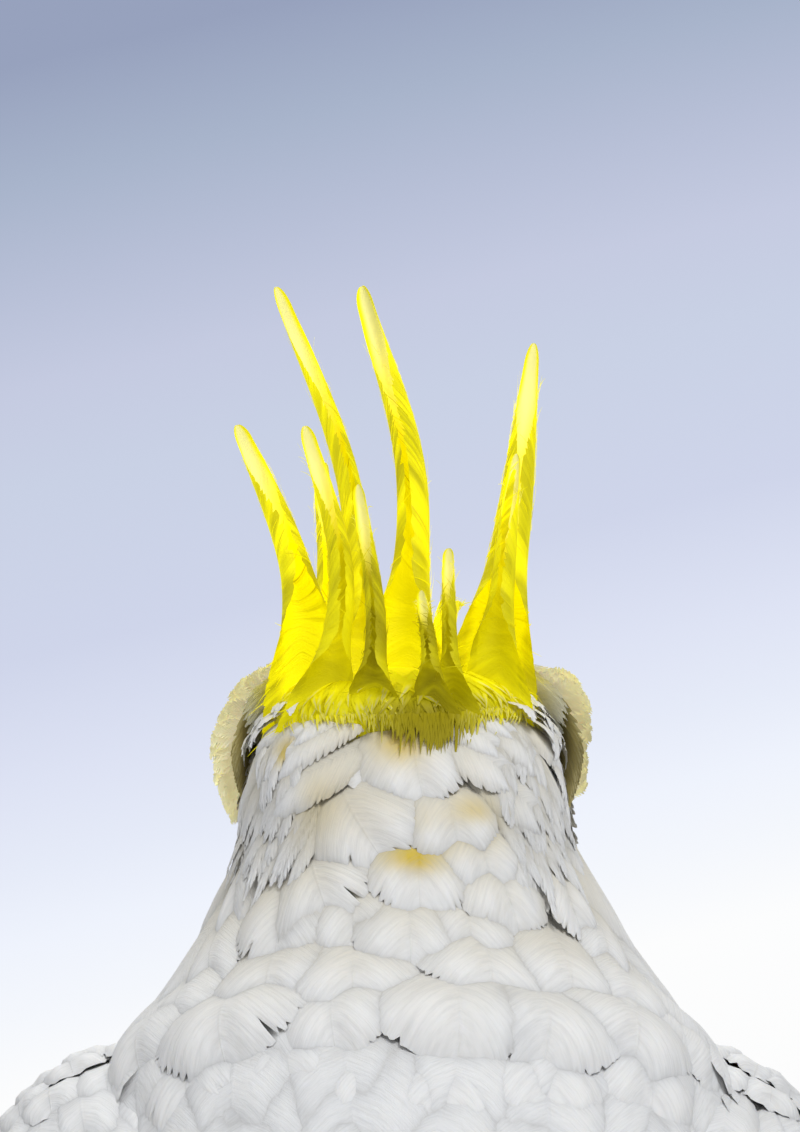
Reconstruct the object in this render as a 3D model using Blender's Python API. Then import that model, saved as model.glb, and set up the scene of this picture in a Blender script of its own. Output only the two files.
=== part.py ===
"""A life-size sulphur-crested cockatoo, standing with its neck up and its crest raised.

The bird faces -Y, its left side is +X and it stands on z = 0. Every sub-part is one closed solid that
holds the true outline out to the tips of the feathers, and neighbours meet with a hair's gap. Sizes are
in millimetres here and become metres when a mesh is made.
"""

import math

import bmesh
import bpy
import numpy as np
from mathutils import Vector

MM = 0.001
GAP = 0.35  # clearance between touching solids
SIDES = {"left": 1.0, "right": -1.0}

# The body from the crown to the root of the tail, one row for each section: middle x, y and z, tilt of
# the section in degrees, half width, half depth, and how much narrower it is in front than behind.
BODY = np.array(
    [
        (3.0, -50.0, 324.5, 0.0, 4.0, 4.0, 0.0),  # crown
        (3.0, -50.0, 322.5, 0.0, 15.0, 14.0, 0.04),
        (3.0, -50.5, 318.0, 0.0, 25.0, 24.5, 0.08),
        (3.0, -50.5, 311.0, 0.0, 31.0, 32.5, 0.11),  # forehead
        (3.0, -50.7, 302.0, 0.0, 33.8, 38.3, 0.14),  # eyes
        (2.7, -49.5, 292.0, 1.0, 35.3, 40.5, 0.13),  # cheeks
        (2.2, -46.5, 281.0, 3.0, 38.8, 41.5, 0.10),  # chin
        (1.2, -41.0, 263.0, 9.0, 48.5, 45.0, 0.05),  # neck
        (0.3, -35.0, 244.0, 15.0, 62.0, 52.5, 0.02),  # shoulders
        (0.0, -24.0, 219.0, 20.6, 67.0, 60.0, 0.0),  # breast
        (0.0, -7.0, 189.5, 24.0, 64.0, 64.7, 0.0),
        (0.0, 15.0, 160.5, 25.8, 58.0, 63.3, 0.0),  # belly
        (0.0, 41.0, 132.5, 27.5, 48.0, 54.5, 0.0),
        (0.0, 68.0, 109.0, 29.0, 35.0, 39.5, 0.0),  # rump
        (0.0, 94.0, 90.0, 31.0, 24.0, 24.5, 0.0),  # vent
        (0.0, 118.0, 74.5, 32.0, 16.5, 13.5, 0.0),  # coverts of the tail
        (0.0, 137.0, 63.0, 32.5, 9.0, 5.0, 0.0),
    ]
)
BODY_RINGS = 32
BODY_SEGMENTS = 28
HEAD_CUT = ((0.0, -46.0, 279.0), 14.0)  # a point of the cut under the head, and its tilt
NECK_CUT = ((0.0, -37.0, 249.0), 15.0)  # the cut between the neck and the trunk

HEAD_X = 3.0  # the head is held a little to the bird's left of its trunk
EYE_MIDDLE = (24.0, -67.0, 300.0)
EYE_RADIUS = 7.0

# The folded wing: middle y, z, outermost x, turn of its face upwards, half height, thickness, and half the
# angle that the section bends through.
WING = np.array(
    [
        (-71.0, 207.0, 64.0, 0.0, 8.0, 9.0, 60.0),  # bend of the wing
        (-58.0, 216.0, 80.0, 5.0, 24.0, 18.0, 70.0),
        (-37.0, 219.0, 87.0, 8.0, 33.0, 22.0, 78.0),
        (-4.0, 204.0, 86.0, 14.0, 38.0, 22.0, 75.0),
        (38.0, 168.0, 72.0, 26.0, 39.0, 18.0, 66.0),
        (80.0, 133.0, 52.0, 36.0, 34.0, 12.0, 60.0),
        (122.0, 99.0, 34.0, 40.0, 22.0, 7.0, 52.0),
        (165.0, 65.0, 22.0, 42.0, 12.0, 4.5, 45.0),
        (210.0, 32.0, 13.0, 42.0, 4.0, 2.5, 40.0),  # tip of the longest primary
    ]
)
WING_SPREAD = {"left": 1.045, "right": 1.0}  # the left shoulder is held a little further out
WING_RINGS = 17
WING_STEPS = 7

# The tail: middle y, z, half width, thickness.
TAIL = np.array(
    [
        (84.0, 94.0, 15.0, 16.0),
        (112.0, 77.0, 20.0, 12.0),
        (150.0, 55.0, 25.0, 7.0),
        (190.0, 33.5, 29.0, 4.5),
        (222.0, 14.4, 31.0, 3.0),
        (233.0, 7.6, 28.0, 2.6),
        (239.0, 3.6, 21.0, 2.2),
    ]
)
TAIL_CURL = 24.0
TAIL_RINGS = 10
TAIL_STEPS = 6

CREST_LINE = 322.0  # height of the crown under the crest
# The crest's feathers. For each: side and y of its root, side and height of its middle, side, y and height
# of its tip, then half widths at root, middle and tip. Sides are measured to the bird's right of the
# crest's middle and heights from the crest's line.
CREST_FEATHERS = {
    "rear_short": (7.5, -25.0, 6.6, 9.0, 4.2, -27.0, 20.5, 4.6, 2.6, 1.4),
    "rear_right": (12.0, -28.0, 10.4, 13.0, 9.8, -31.0, 29.0, 4.4, 2.2, 1.5),
    "rear_middle": (-4.5, -29.0, -4.3, 16.0, -8.6, -37.0, 42.0, 6.5, 3.2, 1.7),
    "rear_left": (-16.5, -34.0, -12.7, 24.0, -19.6, -46.0, 54.0, 6.0, 3.6, 2.0),
    "side_left": (-20.5, -42.0, -23.4, 25.0, -33.8, -60.0, 54.5, 6.2, 3.9, 2.0),
    "side_right": (17.0, -40.0, 21.0, 21.0, 23.8, -52.0, 48.5, 6.0, 3.4, 1.6),
    "long_right": (18.0, -46.0, 24.0, 33.0, 27.8, -72.0, 71.8, 10.5, 4.6, 1.6),
    "long_left": (-8.0, -47.0, -11.2, 41.0, -26.2, -84.0, 84.0, 5.0, 3.5, 1.9),
    "long_middle": (0.5, -50.0, 3.6, 43.0, -8.2, -92.0, 84.5, 7.0, 4.2, 2.2),
    "front_left": (-13.0, -58.0, -12.8, 24.0, -16.4, -92.0, 47.0, 5.0, 3.4, 2.0),
    "front_middle": (2.0, -61.0, 2.8, 26.0, 2.0, -104.0, 52.0, 5.0, 3.6, 2.2),
    "front_right": (16.0, -57.0, 22.0, 18.0, 25.2, -86.0, 38.0, 4.6, 3.2, 2.0),
    "brow_left": (-8.0, -72.0, -9.0, 12.0, -11.0, -97.0, 18.0, 4.4, 3.2, 2.0),
    "brow_right": (8.0, -72.0, 9.0, 12.0, 11.0, -97.0, 18.0, 4.4, 3.2, 2.0),
}
CREST_X = 4.0
CREST_RINGS = 8
CREST_STEPS = 2
CREST_PAD = ((4.0, -50.0, 316.0), (27.5, 27.0, 22.5))  # middle and radii of the bushy feather roots

# The raised fan of feathers behind each cheek: x, y, z of its middle line, half width.
RUFF = np.array(
    [
        (27.0, -55.0, 326.5, 6.0),
        (32.0, -53.0, 321.0, 9.5),
        (35.2, -51.0, 312.5, 11.5),
        (35.6, -49.0, 303.5, 10.5),
        (33.8, -47.0, 296.0, 6.5),
    ]
)
RUFF_ACROSS = (0.42, 0.905, 0.07)  # from the face out to the free edge
RUFF_THICK = 3.0

# The bill: y and z of its middle line, half height, half width.
UPPER_BILL = np.array(
    [
        (-76.0, 286.0, 12.5, 10.5),
        (-89.0, 289.0, 13.4, 11.0),
        (-100.5, 288.0, 12.0, 9.6),
        (-109.5, 282.0, 9.2, 7.2),
        (-114.0, 273.5, 6.0, 4.6),
        (-114.5, 266.5, 3.2, 2.4),
        (-112.5, 260.5, 0.8, 0.7),
    ]
)
LOWER_BILL = np.array(
    [
        (-76.0, 266.0, 7.0, 9.0),
        (-87.0, 267.0, 7.6, 9.2),
        (-97.0, 268.5, 6.6, 7.8),
        (-104.0, 272.0, 3.2, 5.0),
    ]
)

# Legs: the feet stand under the bird's balance.
FOOT_X = 25.0
FOOT_Y = 6.0
THIGH = np.array(  # x, y, z, radius
    [
        (31.0, 12.0, 140.0, 8.0),
        (30.0, 13.5, 127.0, 18.5),
        (29.0, 15.5, 109.0, 23.0),
        (27.5, 19.0, 88.0, 20.0),
        (26.5, 21.0, 68.0, 14.5),
        (25.8, 21.0, 52.0, 10.0),
        (25.4, 20.0, 44.0, 7.2),
    ]
)
SHANK = np.array(
    [
        (25.4, 19.8, 43.6, 4.8),
        (25.2, 19.0, 37.0, 5.3),
        (25.1, 15.0, 27.0, 4.4),
        (25.0, 10.0, 17.0, 4.8),
        (25.0, 6.5, 8.5, 6.2),
        (25.0, 6.0, 2.5, 5.6),
        (25.0, 6.0, 0.0, 4.8),
    ]
)
# Each toe: heading in degrees from straight ahead towards the bird's outer side, length, thickness,
# sideways and forward place of its root, and length of its claw.
TOES = {
    "front_inner": (-14.0, 27.0, 3.9, -4.6, 7.0, 12.5),
    "front_outer": (13.0, 37.0, 4.2, 4.8, 7.0, 14.0),
    "rear_outer": (152.0, 32.0, 4.0, 5.4, -6.2, 13.0),
    "rear_inner": (196.0, 18.0, 3.6, -4.6, -6.6, 11.0),
}

FEATHER_WHITE = (0.86, 0.86, 0.85)
CREST_YELLOW = (0.93, 0.83, 0.02)
RUFF_CREAM = (0.84, 0.82, 0.58)
BILL_BLACK = (0.035, 0.035, 0.04)
SKIN_GREY = (0.13, 0.125, 0.13)
EYE_BROWN = (0.02, 0.012, 0.008)


def through(table, at):
    """The rows of a table as one smooth curve: a cubic between neighbours, whose slopes come from the
    rows on either side. at runs from 0 at the first row to 1 at the last."""
    row = np.clip(at, 0.0, 1.0) * (len(table) - 1)
    low = np.minimum(row.astype(int), len(table) - 2)
    part = (row - low)[:, None]
    slope = np.gradient(table, axis=0)
    return (
        (1 + 2 * part) * (1 - part) ** 2 * table[low]
        + part * (1 - part) ** 2 * slope[low]
        + part**2 * (3 - 2 * part) * table[low + 1]
        + part**2 * (part - 1) * slope[low + 1]
    )


def unit(vectors):
    """Each vector at length one."""
    return vectors / np.linalg.norm(vectors, axis=-1, keepdims=True)


def material(name, colour, roughness):
    """A plain principled material."""
    made = bpy.data.materials.new(name)
    made.use_nodes = True
    shader = made.node_tree.nodes["Principled BSDF"]
    shader.inputs["Base Color"].default_value = (*colour, 1.0)
    shader.inputs["Roughness"].default_value = roughness
    return made


def rings_object(name, rings, skin=None):
    """A closed mesh through rings of points, (rings, points, 3) in millimetres, with a flat cap at each
    end. Faces are turned outwards."""
    count, around = rings.shape[:2]
    index = np.arange(count * around).reshape(count, around)
    after = np.roll(index, -1, axis=1)
    quads = np.stack([index[:-1], after[:-1], after[1:], index[1:]], -1).reshape(-1, 4)
    faces = quads.tolist() + [index[0][::-1].tolist(), index[-1].tolist()]
    mesh = bpy.data.meshes.new(name)
    mesh.from_pydata((rings.reshape(-1, 3) * MM).tolist(), [], faces)
    made = bmesh.new()
    made.from_mesh(mesh)
    bmesh.ops.triangulate(made, faces=[f for f in made.faces if len(f.verts) > 4])
    bmesh.ops.recalc_face_normals(made, faces=made.faces)
    made.to_mesh(mesh)
    made.free()
    mesh.shade_smooth()
    placed = bpy.data.objects.new(name, mesh)
    bpy.context.scene.collection.objects.link(placed)
    if skin:
        mesh.materials.append(skin)
    return placed


def helper(placed):
    """Marks an object as a cutter or filler: drawn as wire and left out of the model."""
    placed.hide_render = True
    placed.display_type = "WIRE"
    return placed


def cut(target, cutter, operation="DIFFERENCE"):
    """Cuts one solid by another, or joins them."""
    modifier = target.modifiers.new(cutter.name, "BOOLEAN")
    modifier.operation = operation
    modifier.object = cutter
    return target


def body_rings(grow=0.0):
    """Sections of the body, each an egg shape in its own tilted plane, grown outwards by grow."""
    row = through(BODY, np.linspace(0, 1, BODY_RINGS))
    turn = np.linspace(0, 2 * math.pi, BODY_SEGMENTS, endpoint=False)
    tilt = np.radians(row[:, 3])
    back = np.stack([0 * tilt, np.cos(tilt), np.sin(tilt)], -1)
    middle = row[:, :3].copy()
    along = unit(np.gradient(middle, axis=0))
    middle[0] -= along[0] * grow
    middle[-1] += along[-1] * grow
    width, depth = row[:, 4] + grow, row[:, 5] + grow
    egg = 1 + row[:, 6:7] * (np.cos(turn) - 0.5)
    sideways = (np.sin(turn) * egg * width[:, None])[:, :, None] * np.array([1.0, 0, 0])
    backwards = np.cos(turn)[None, :, None] * (depth[:, None] * back)[:, None, :]
    return middle[:, None, :] + sideways + backwards


def tube_rings(table, count, segments, floor=None, ends=None):
    """Round sections along a smooth path of (x, y, z, radius), square to the path, and at both ends to the
    direction ends if it is given. With a floor, what reaches below it is flattened onto it."""
    row = through(table, np.linspace(0, 1, count))
    along = unit(np.gradient(row[:, :3], axis=0))
    if ends is not None:
        along[[0, -1]] = ends
    ahead = np.array([0.0, 1.0, 0.0]) if abs(along[0, 1]) < 0.7 else np.array([0.0, 0, 1.0])
    across = unit(np.cross(along, ahead))
    up = np.cross(across, along)
    turn = np.linspace(0, 2 * math.pi, segments, endpoint=False)
    ring = (
        np.cos(turn)[None, :, None] * across[:, None, :]
        + np.sin(turn)[None, :, None] * up[:, None, :]
    )
    points = row[:, None, :3] + row[:, 3][:, None, None] * ring
    if floor is not None:
        points[..., 2] = np.maximum(points[..., 2], floor)
    return points


def blade_rings(middle, across, outward, half_width, thickness, curl, steps):
    """Sections of a curved blade. Each is a strip bent on an arc of twice the curl, thick in its middle
    and 0.5 mm at its edges, with its hollow side away from outward."""
    angle = np.linspace(-1, 1, steps + 1)
    curl = np.radians(np.broadcast_to(curl, len(middle)))[:, None]
    bend = curl * angle
    radius = half_width[:, None] / np.sin(curl)
    half = np.maximum(thickness[:, None] * np.sqrt(np.clip(1 - angle**2, 0, 1)), 0.55) / 2
    strips = []
    for side in (1.0, -1.0):
        reach = radius + side * half
        strip = (
            middle[:, None, :]
            + (reach * np.sin(bend))[..., None] * across[:, None, :]
            + (reach * np.cos(bend) - radius)[..., None] * outward[:, None, :]
        )
        strips.append(strip[:, :: int(side)])
    return np.concatenate(strips, axis=1)


def part_of(source, name, keep, skin):
    """A copy of a closed mesh, cut by planes of (point, outward direction) and closed again."""
    made = bmesh.new()
    made.from_mesh(source.data)
    for point, direction in keep:
        geometry = made.verts[:] + made.edges[:] + made.faces[:]
        bmesh.ops.bisect_plane(
            made, geom=geometry, plane_co=point, plane_no=direction, clear_outer=True
        )
        rim = [e for e in made.edges if e.is_boundary]
        bmesh.ops.triangulate(made, faces=bmesh.ops.edgeloop_fill(made, edges=rim)["faces"])
    bmesh.ops.recalc_face_normals(made, faces=made.faces)
    mesh = bpy.data.meshes.new(name)
    made.to_mesh(mesh)
    made.free()
    mesh.shade_smooth()
    mesh.materials.append(skin)
    placed = bpy.data.objects.new(name, mesh)
    bpy.context.scene.collection.objects.link(placed)
    return placed


def cut_plane(where, side):
    """One face of a thin cut across the body: side is 1 for the piece below it and -1 for the one above."""
    point, tilt = where
    normal = Vector((0.0, -math.sin(math.radians(tilt)), math.cos(math.radians(tilt))))
    place = (Vector(point) - normal * side * GAP / 2) * MM
    return place, normal * side


def build_flesh(white):
    """Head, neck and trunk: one body, parted by two thin cuts."""
    whole = rings_object("body_whole", body_rings())
    head = part_of(whole, "head", [cut_plane(HEAD_CUT, -1)], white)
    part_of(whole, "neck", [cut_plane(HEAD_CUT, 1), cut_plane(NECK_CUT, -1)], white)
    part_of(whole, "trunk", [cut_plane(NECK_CUT, 1)], white)
    bpy.data.objects.remove(whole)
    return head


def ball(name, middle, radii, rings, segments, skin=None):
    """A closed ellipsoid with small flat poles."""
    turn = np.linspace(0, 2 * math.pi, segments, endpoint=False)
    down = np.linspace(0.12, math.pi - 0.12, rings)
    rows = np.stack(
        [
            np.sin(down)[:, None] * np.cos(turn),
            np.sin(down)[:, None] * np.sin(turn),
            np.repeat(np.cos(down)[:, None], segments, axis=1),
        ],
        -1,
    )
    return rings_object(name, np.array(middle) + rows * np.array(radii), skin)


def build_eyes(head, brown):
    """An eyeball on each side, in a socket of the head."""
    for side, sign in SIDES.items():
        middle = (HEAD_X + EYE_MIDDLE[0] * sign, *EYE_MIDDLE[1:])
        ball("eye_" + side, middle, [EYE_RADIUS] * 3, 6, 10, brown)
        grown = [EYE_RADIUS + GAP] * 3
        cut(head, helper(ball("socket_" + side, middle, grown, 6, 10)))


def build_bill(grown_body, black):
    """The hooked upper bill and the cup of the lower one, both set against the face."""
    for name, table, grow in (
        ("bill_upper", UPPER_BILL, 0.0),
        ("bill_upper_grown", UPPER_BILL, GAP),
        ("bill_lower", LOWER_BILL, 0.0),
    ):
        row = through(table, np.linspace(0, 1, 10))
        middle = np.stack([0 * row[:, 0] + HEAD_X, row[:, 0], row[:, 1]], -1)
        along = unit(np.gradient(middle, axis=0))
        up = np.cross(np.array([1.0, 0, 0]), along)
        turn = np.linspace(0, 2 * math.pi, 14, endpoint=False)
        rings = (
            middle[:, None, :]
            + (np.cos(turn)[None, :] * (row[:, 2] + grow)[:, None])[..., None] * up[:, None, :]
            + (np.sin(turn)[None, :] * (row[:, 3] + grow)[:, None])[..., None] * np.array([1.0, 0, 0])
        )
        placed = rings_object(name, rings, black)
        if grow:
            upper_grown = helper(placed)
        else:
            cut(placed, grown_body)
    cut(placed, upper_grown)


def build_wings(grown_body, white):
    """The folded wings: long curved blades that lie on the flanks and run back over the tail."""
    row = through(WING, np.linspace(0, 1, WING_RINGS))
    roll = np.radians(row[:, 3:4])
    for side, sign in SIDES.items():
        middle = np.stack([row[:, 2] * sign * WING_SPREAD[side], row[:, 0], row[:, 1]], -1)
        straight = unit(np.gradient(middle * np.array([0.0, 1, 1]), axis=0))
        up = np.cross(straight, np.array([-1.0, 0, 0]))
        away = np.array([sign, 0.0, 0.0])
        outward = np.cos(roll) * away + np.sin(roll) * up
        across = np.cos(roll) * up - np.sin(roll) * away
        middle = middle - outward * row[:, 5:6] / 2
        rings = blade_rings(middle, across, outward, row[:, 4], row[:, 5], row[:, 6], WING_STEPS)
        cut(rings_object("wing_" + side, rings, white), grown_body)


def build_tail(grown_body, white):
    """The closed fan of the tail, arched across and resting its end on the floor."""
    row = through(TAIL, np.linspace(0, 1, TAIL_RINGS))
    middle = np.stack([0 * row[:, 0], row[:, 0], row[:, 1]], -1)
    along = unit(np.gradient(middle, axis=0))
    across = np.broadcast_to(np.array([1.0, 0, 0]), middle.shape)
    rings = blade_rings(
        middle, across, np.cross(across, along), row[:, 2], row[:, 3], TAIL_CURL, TAIL_STEPS
    )
    rings[:, : TAIL_STEPS + 1, 2] = np.maximum(rings[:, : TAIL_STEPS + 1, 2], 0.6)
    rings[:, TAIL_STEPS + 1 :, 2] = np.maximum(rings[:, TAIL_STEPS + 1 :, 2], 0.0)
    cut(rings_object("tail", rings, white), grown_body)


def crest_feather(name, root_side, root_y, mid_side, mid_height, tip_side, tip_y, tip_height, *halves):
    """One long narrow crest feather, a channel open towards the back, whose tip leans forwards."""
    knots = np.array(
        [
            (CREST_X - root_side, root_y, CREST_LINE - 4.0, halves[0]),
            (CREST_X - mid_side, 0.75 * root_y + 0.25 * tip_y, CREST_LINE + mid_height, halves[1]),
            (CREST_X - tip_side, tip_y, CREST_LINE + tip_height, halves[2]),
        ]
    )
    row = through(knots, np.append(np.linspace(0, 0.97, CREST_RINGS - 1), 1.0))
    row[-1, 3] *= 0.45
    along = unit(np.gradient(row[:, :3], axis=0))
    across = unit(np.cross(along, np.array([0.0, -1.0, 0.0])))
    outward = np.cross(across, along)
    thick = np.full(len(row), 1.0)
    return rings_object(
        name, blade_rings(row[:, :3], across, outward, row[:, 3], thick, 48.0, CREST_STEPS)
    )


def build_crest(grown_body, yellow):
    """The raised crest: a bushy pad of feather roots on the crown, with the long feathers growing from it."""
    crest = ball("crest", *CREST_PAD, 7, 18, yellow)
    for name, sizes in CREST_FEATHERS.items():
        cut(crest, helper(crest_feather("crest_" + name, *sizes)), "UNION")
    cut(crest, grown_body)


def build_ruffs(grown_body, grown_pad, cream):
    """The fans of feathers that stand out behind the cheeks."""
    row = through(RUFF, np.linspace(0, 1, 9))
    for side, sign in SIDES.items():
        mirror = np.array([sign, 1.0, 1.0])
        across = np.broadcast_to(unit(np.array(RUFF_ACROSS)) * mirror, (len(row), 3))
        middle = row[:, :3] * mirror + np.array([HEAD_X, 0.0, 0.0])
        along = unit(np.gradient(middle, axis=0))
        across = unit(across - (across * along).sum(-1, keepdims=True) * along)
        outward = np.cross(across, along)
        outward = outward * np.sign(outward[:, :1] * sign)
        thick = np.full(len(row), RUFF_THICK)
        placed = rings_object(
            "ruff_" + side, blade_rings(middle, across, outward, row[:, 3], thick, 20.0, 4), cream
        )
        cut(cut(placed, grown_body), grown_pad)


def build_legs(grown_body, white, grey, black):
    """Feathered thighs, bare shanks and feet with two toes in front and two behind."""
    for side, sign in SIDES.items():
        mirror = np.array([sign, 1.0, 1.0])
        cut(rings_object("thigh_" + side, tube_rings(THIGH, 9, 14) * mirror, white), grown_body)
        rings_object("shank_" + side, tube_rings(SHANK, 8, 10, floor=0.0) * mirror, grey)
        for toe, (heading, length, thick, root_x, root_ahead, claw) in TOES.items():
            angle = math.radians(heading)
            ahead = np.array([math.sin(angle), -math.cos(angle), 0.0])
            root = np.array([FOOT_X + root_x, FOOT_Y - root_ahead, thick * 0.86])
            path = root + np.linspace(0, 1, 5)[:, None] * length * ahead
            pads = thick * np.array([1.0, 0.93, 1.04, 0.9, 0.78])
            path[:, 2] = pads * 0.88
            table = np.column_stack([path, pads])
            name = f"{side}_{toe}"
            rings_object("toe_" + name, tube_rings(table, 8, 8, 0.0, ahead) * mirror, grey)
            nail = path[-1] + (GAP + claw * np.array([0.0, 0.3, 0.6, 0.85, 1.0]))[:, None] * ahead
            nail[:, 2] = path[-1, 2] + claw * np.array([0.02, 0.1, 0.07, -0.04, -0.2])
            radius = thick * np.array([0.62, 0.52, 0.38, 0.22, 0.1])
            nail[:, 2] = np.maximum(nail[:, 2], radius + 0.05)
            table = np.column_stack([nail, radius])
            rings_object("claw_" + name, tube_rings(table, 6, 6, 0.0, ahead) * mirror, black)


def centre_on_floor():
    """Moves every mesh so that the middle of the model's box stands over the origin."""
    bpy.context.view_layer.update()
    graph = bpy.context.evaluated_depsgraph_get()
    corners = [
        shown.matrix_world @ Vector(corner)
        for shown in (o.evaluated_get(graph) for o in bpy.data.objects if not o.hide_render)
        for corner in shown.bound_box
    ]
    low = Vector([min(c[i] for c in corners) for i in range(3)])
    high = Vector([max(c[i] for c in corners) for i in range(3)])
    shift = Vector((-(low.x + high.x) / 2, -(low.y + high.y) / 2, -low.z))
    for placed in bpy.data.objects:
        placed.location = shift


def main():
    for old in list(bpy.data.objects):
        bpy.data.objects.remove(old)
    white = material("white_feather", FEATHER_WHITE, 0.8)
    yellow = material("crest_feather", CREST_YELLOW, 0.7)
    cream = material("cheek_feather", RUFF_CREAM, 0.8)
    black = material("bill_and_claw", BILL_BLACK, 0.45)
    grey = material("leg_skin", SKIN_GREY, 0.7)
    brown = material("eye", EYE_BROWN, 0.08)

    grown_body = helper(rings_object("body_grown", body_rings(GAP)))
    grown_pad = helper(
        ball("pad_grown", CREST_PAD[0], [r + GAP for r in CREST_PAD[1]], 7, 18)
    )
    head = build_flesh(white)
    build_eyes(head, brown)
    build_bill(grown_body, black)
    build_wings(grown_body, white)
    build_tail(grown_body, white)
    build_crest(grown_body, yellow)
    build_ruffs(grown_body, grown_pad, cream)
    build_legs(grown_body, white, grey, black)
    centre_on_floor()


main()
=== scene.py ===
"""A sulphur-crested cockatoo in full feather, laid over the solids of its frame."""

import math

import bmesh
import bpy
import numpy as np
from bpy.props import FloatProperty, FloatVectorProperty, IntProperty, PointerProperty
from bpy.types import Operator, Panel, PropertyGroup
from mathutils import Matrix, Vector


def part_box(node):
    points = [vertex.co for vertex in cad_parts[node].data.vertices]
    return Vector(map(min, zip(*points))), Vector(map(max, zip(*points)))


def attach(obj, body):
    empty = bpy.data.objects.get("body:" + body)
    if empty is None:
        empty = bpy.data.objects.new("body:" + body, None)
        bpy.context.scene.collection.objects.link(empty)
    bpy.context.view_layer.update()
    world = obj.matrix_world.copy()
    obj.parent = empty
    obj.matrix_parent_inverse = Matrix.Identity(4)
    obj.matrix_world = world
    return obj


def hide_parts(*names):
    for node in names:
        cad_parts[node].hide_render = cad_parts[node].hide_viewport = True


bl_info = {
    "name": "Sulphur-crested Cockatoo",
    "version": (1, 0, 0),
    "blender": (4, 5, 0),
    "location": "3D View > Sidebar > Cockatoo",
    "description": "Builds the skin, feathers, bill, eyes and feet of a standing cockatoo",
    "category": "Add Mesh",
}

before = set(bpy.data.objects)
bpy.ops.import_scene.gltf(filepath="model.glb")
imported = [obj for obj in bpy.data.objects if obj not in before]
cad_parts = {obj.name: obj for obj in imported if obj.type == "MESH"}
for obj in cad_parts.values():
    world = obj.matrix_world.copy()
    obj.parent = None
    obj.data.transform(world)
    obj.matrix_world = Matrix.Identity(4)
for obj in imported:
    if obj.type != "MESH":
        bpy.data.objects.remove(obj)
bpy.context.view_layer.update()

SIDES = {"left": 1.0, "right": -1.0}
MM = 0.001
TAU = 2 * math.pi
X_AXIS, Y_AXIS, Z_AXIS = np.eye(3)
# How far to each side a slope is measured, along a table and on a surface.
PEEK, STEP = 0.01, 1e-3
# How wide one feather's patch of the OFBake map is.
PATCH = 0.003

# The body from the crown to the root of the tail: middle x, y, z, tilt in degrees, half width, half depth,
# and how much narrower a section is in front than behind.
BODY = np.array([
    (3, -50, 324.5, 0, 4, 4, 0), (3, -50, 322.5, 0, 15, 14, 0.04), (3, -50.5, 318, 0, 25, 24.5, 0.08),
    (3, -50.5, 311, 0, 31, 32.5, 0.11), (3, -50.7, 302, 0, 33.8, 38.3, 0.14),
    (2.7, -49.5, 292, 1, 35.3, 40.5, 0.13), (2.2, -46.5, 281, 3, 38.8, 41.5, 0.10),
    (1.2, -41, 263, 9, 48.5, 45, 0.05), (0.3, -35, 244, 15, 62, 52.5, 0.02),
    (0, -24, 219, 20.6, 67, 60, 0), (0, -7, 189.5, 24, 64, 64.7, 0), (0, 15, 160.5, 25.8, 58, 63.3, 0),
    (0, 41, 132.5, 27.5, 48, 54.5, 0), (0, 68, 109, 29, 35, 39.5, 0), (0, 94, 90, 31, 24, 24.5, 0),
    (0, 118, 74.5, 32, 16.5, 13.5, 0), (0, 137, 63, 32.5, 9, 5, 0),
])
# The folded wing from bend to tip: middle y, z, outermost x, turn of its face upwards, half height,
# thickness, half the angle its section bends through.
WING = np.array([
    (-71, 207, 64, 0, 8, 9, 60), (-58, 216, 80, 5, 24, 18, 70), (-37, 219, 87, 8, 33, 22, 78),
    (-4, 204, 86, 14, 38, 22, 75), (38, 168, 72, 26, 39, 18, 66), (80, 133, 52, 36, 34, 12, 60),
    (122, 99, 34, 40, 22, 7, 52), (165, 65, 22, 42, 12, 4.5, 45), (210, 32, 13, 42, 4, 2.5, 40),
])
# How much farther out each wing stands than in the table.
WING_SPREAD = {"left": 1.045, "right": 1.0}
# The tail from its root to its end: middle y, z, half width, thickness.
TAIL = np.array([
    (84, 94, 15, 16), (112, 77, 20, 12), (150, 55, 25, 7), (190, 33.5, 29, 4.5), (222, 14.4, 31, 3),
    (233, 7.6, 28, 2.6), (239, 3.6, 21, 2.2),
])
# The fan of raised feathers behind each cheek: x, y, z, half width.
RUFF = np.array([
    (27, -55, 326.5, 6), (32, -53, 321, 9.5), (35.2, -51, 312.5, 11.5), (35.6, -49, 303.5, 10.5),
    (33.8, -47, 296, 6.5),
])
# Which way a fan runs from its foot to its free edge.
RUFF_ACROSS = (0.42, 0.905, 0.07)
# Half the angle that the tail's and a fan's sections bend through, in degrees.
TAIL_CURL, RUFF_CURL = 24.0, 20.0
# The head's middle lies a little to the left of the body's.
HEAD_X = 3.0
EYE_MIDDLE, EYE_RADIUS = (24.0, -67.0, 300.0), 7.0
# Where no feathers grow on the head, as balls of a middle and a radius: the eyes, then the bill's halves.
BARE = (
    ((HEAD_X + 24, -67, 300), 8.8), ((HEAD_X - 24, -67, 300), 8.8), ((HEAD_X, -88, 288), 12),
    ((HEAD_X, -86, 268), 12),
)
# How far round to each side, from the middle of the back, the feathers of the back reach.
BACK = 1.45
# The crest's middle, and the height of the parting that it rises from.
CREST_X, CREST_LINE = 4.0, 322.0
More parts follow.
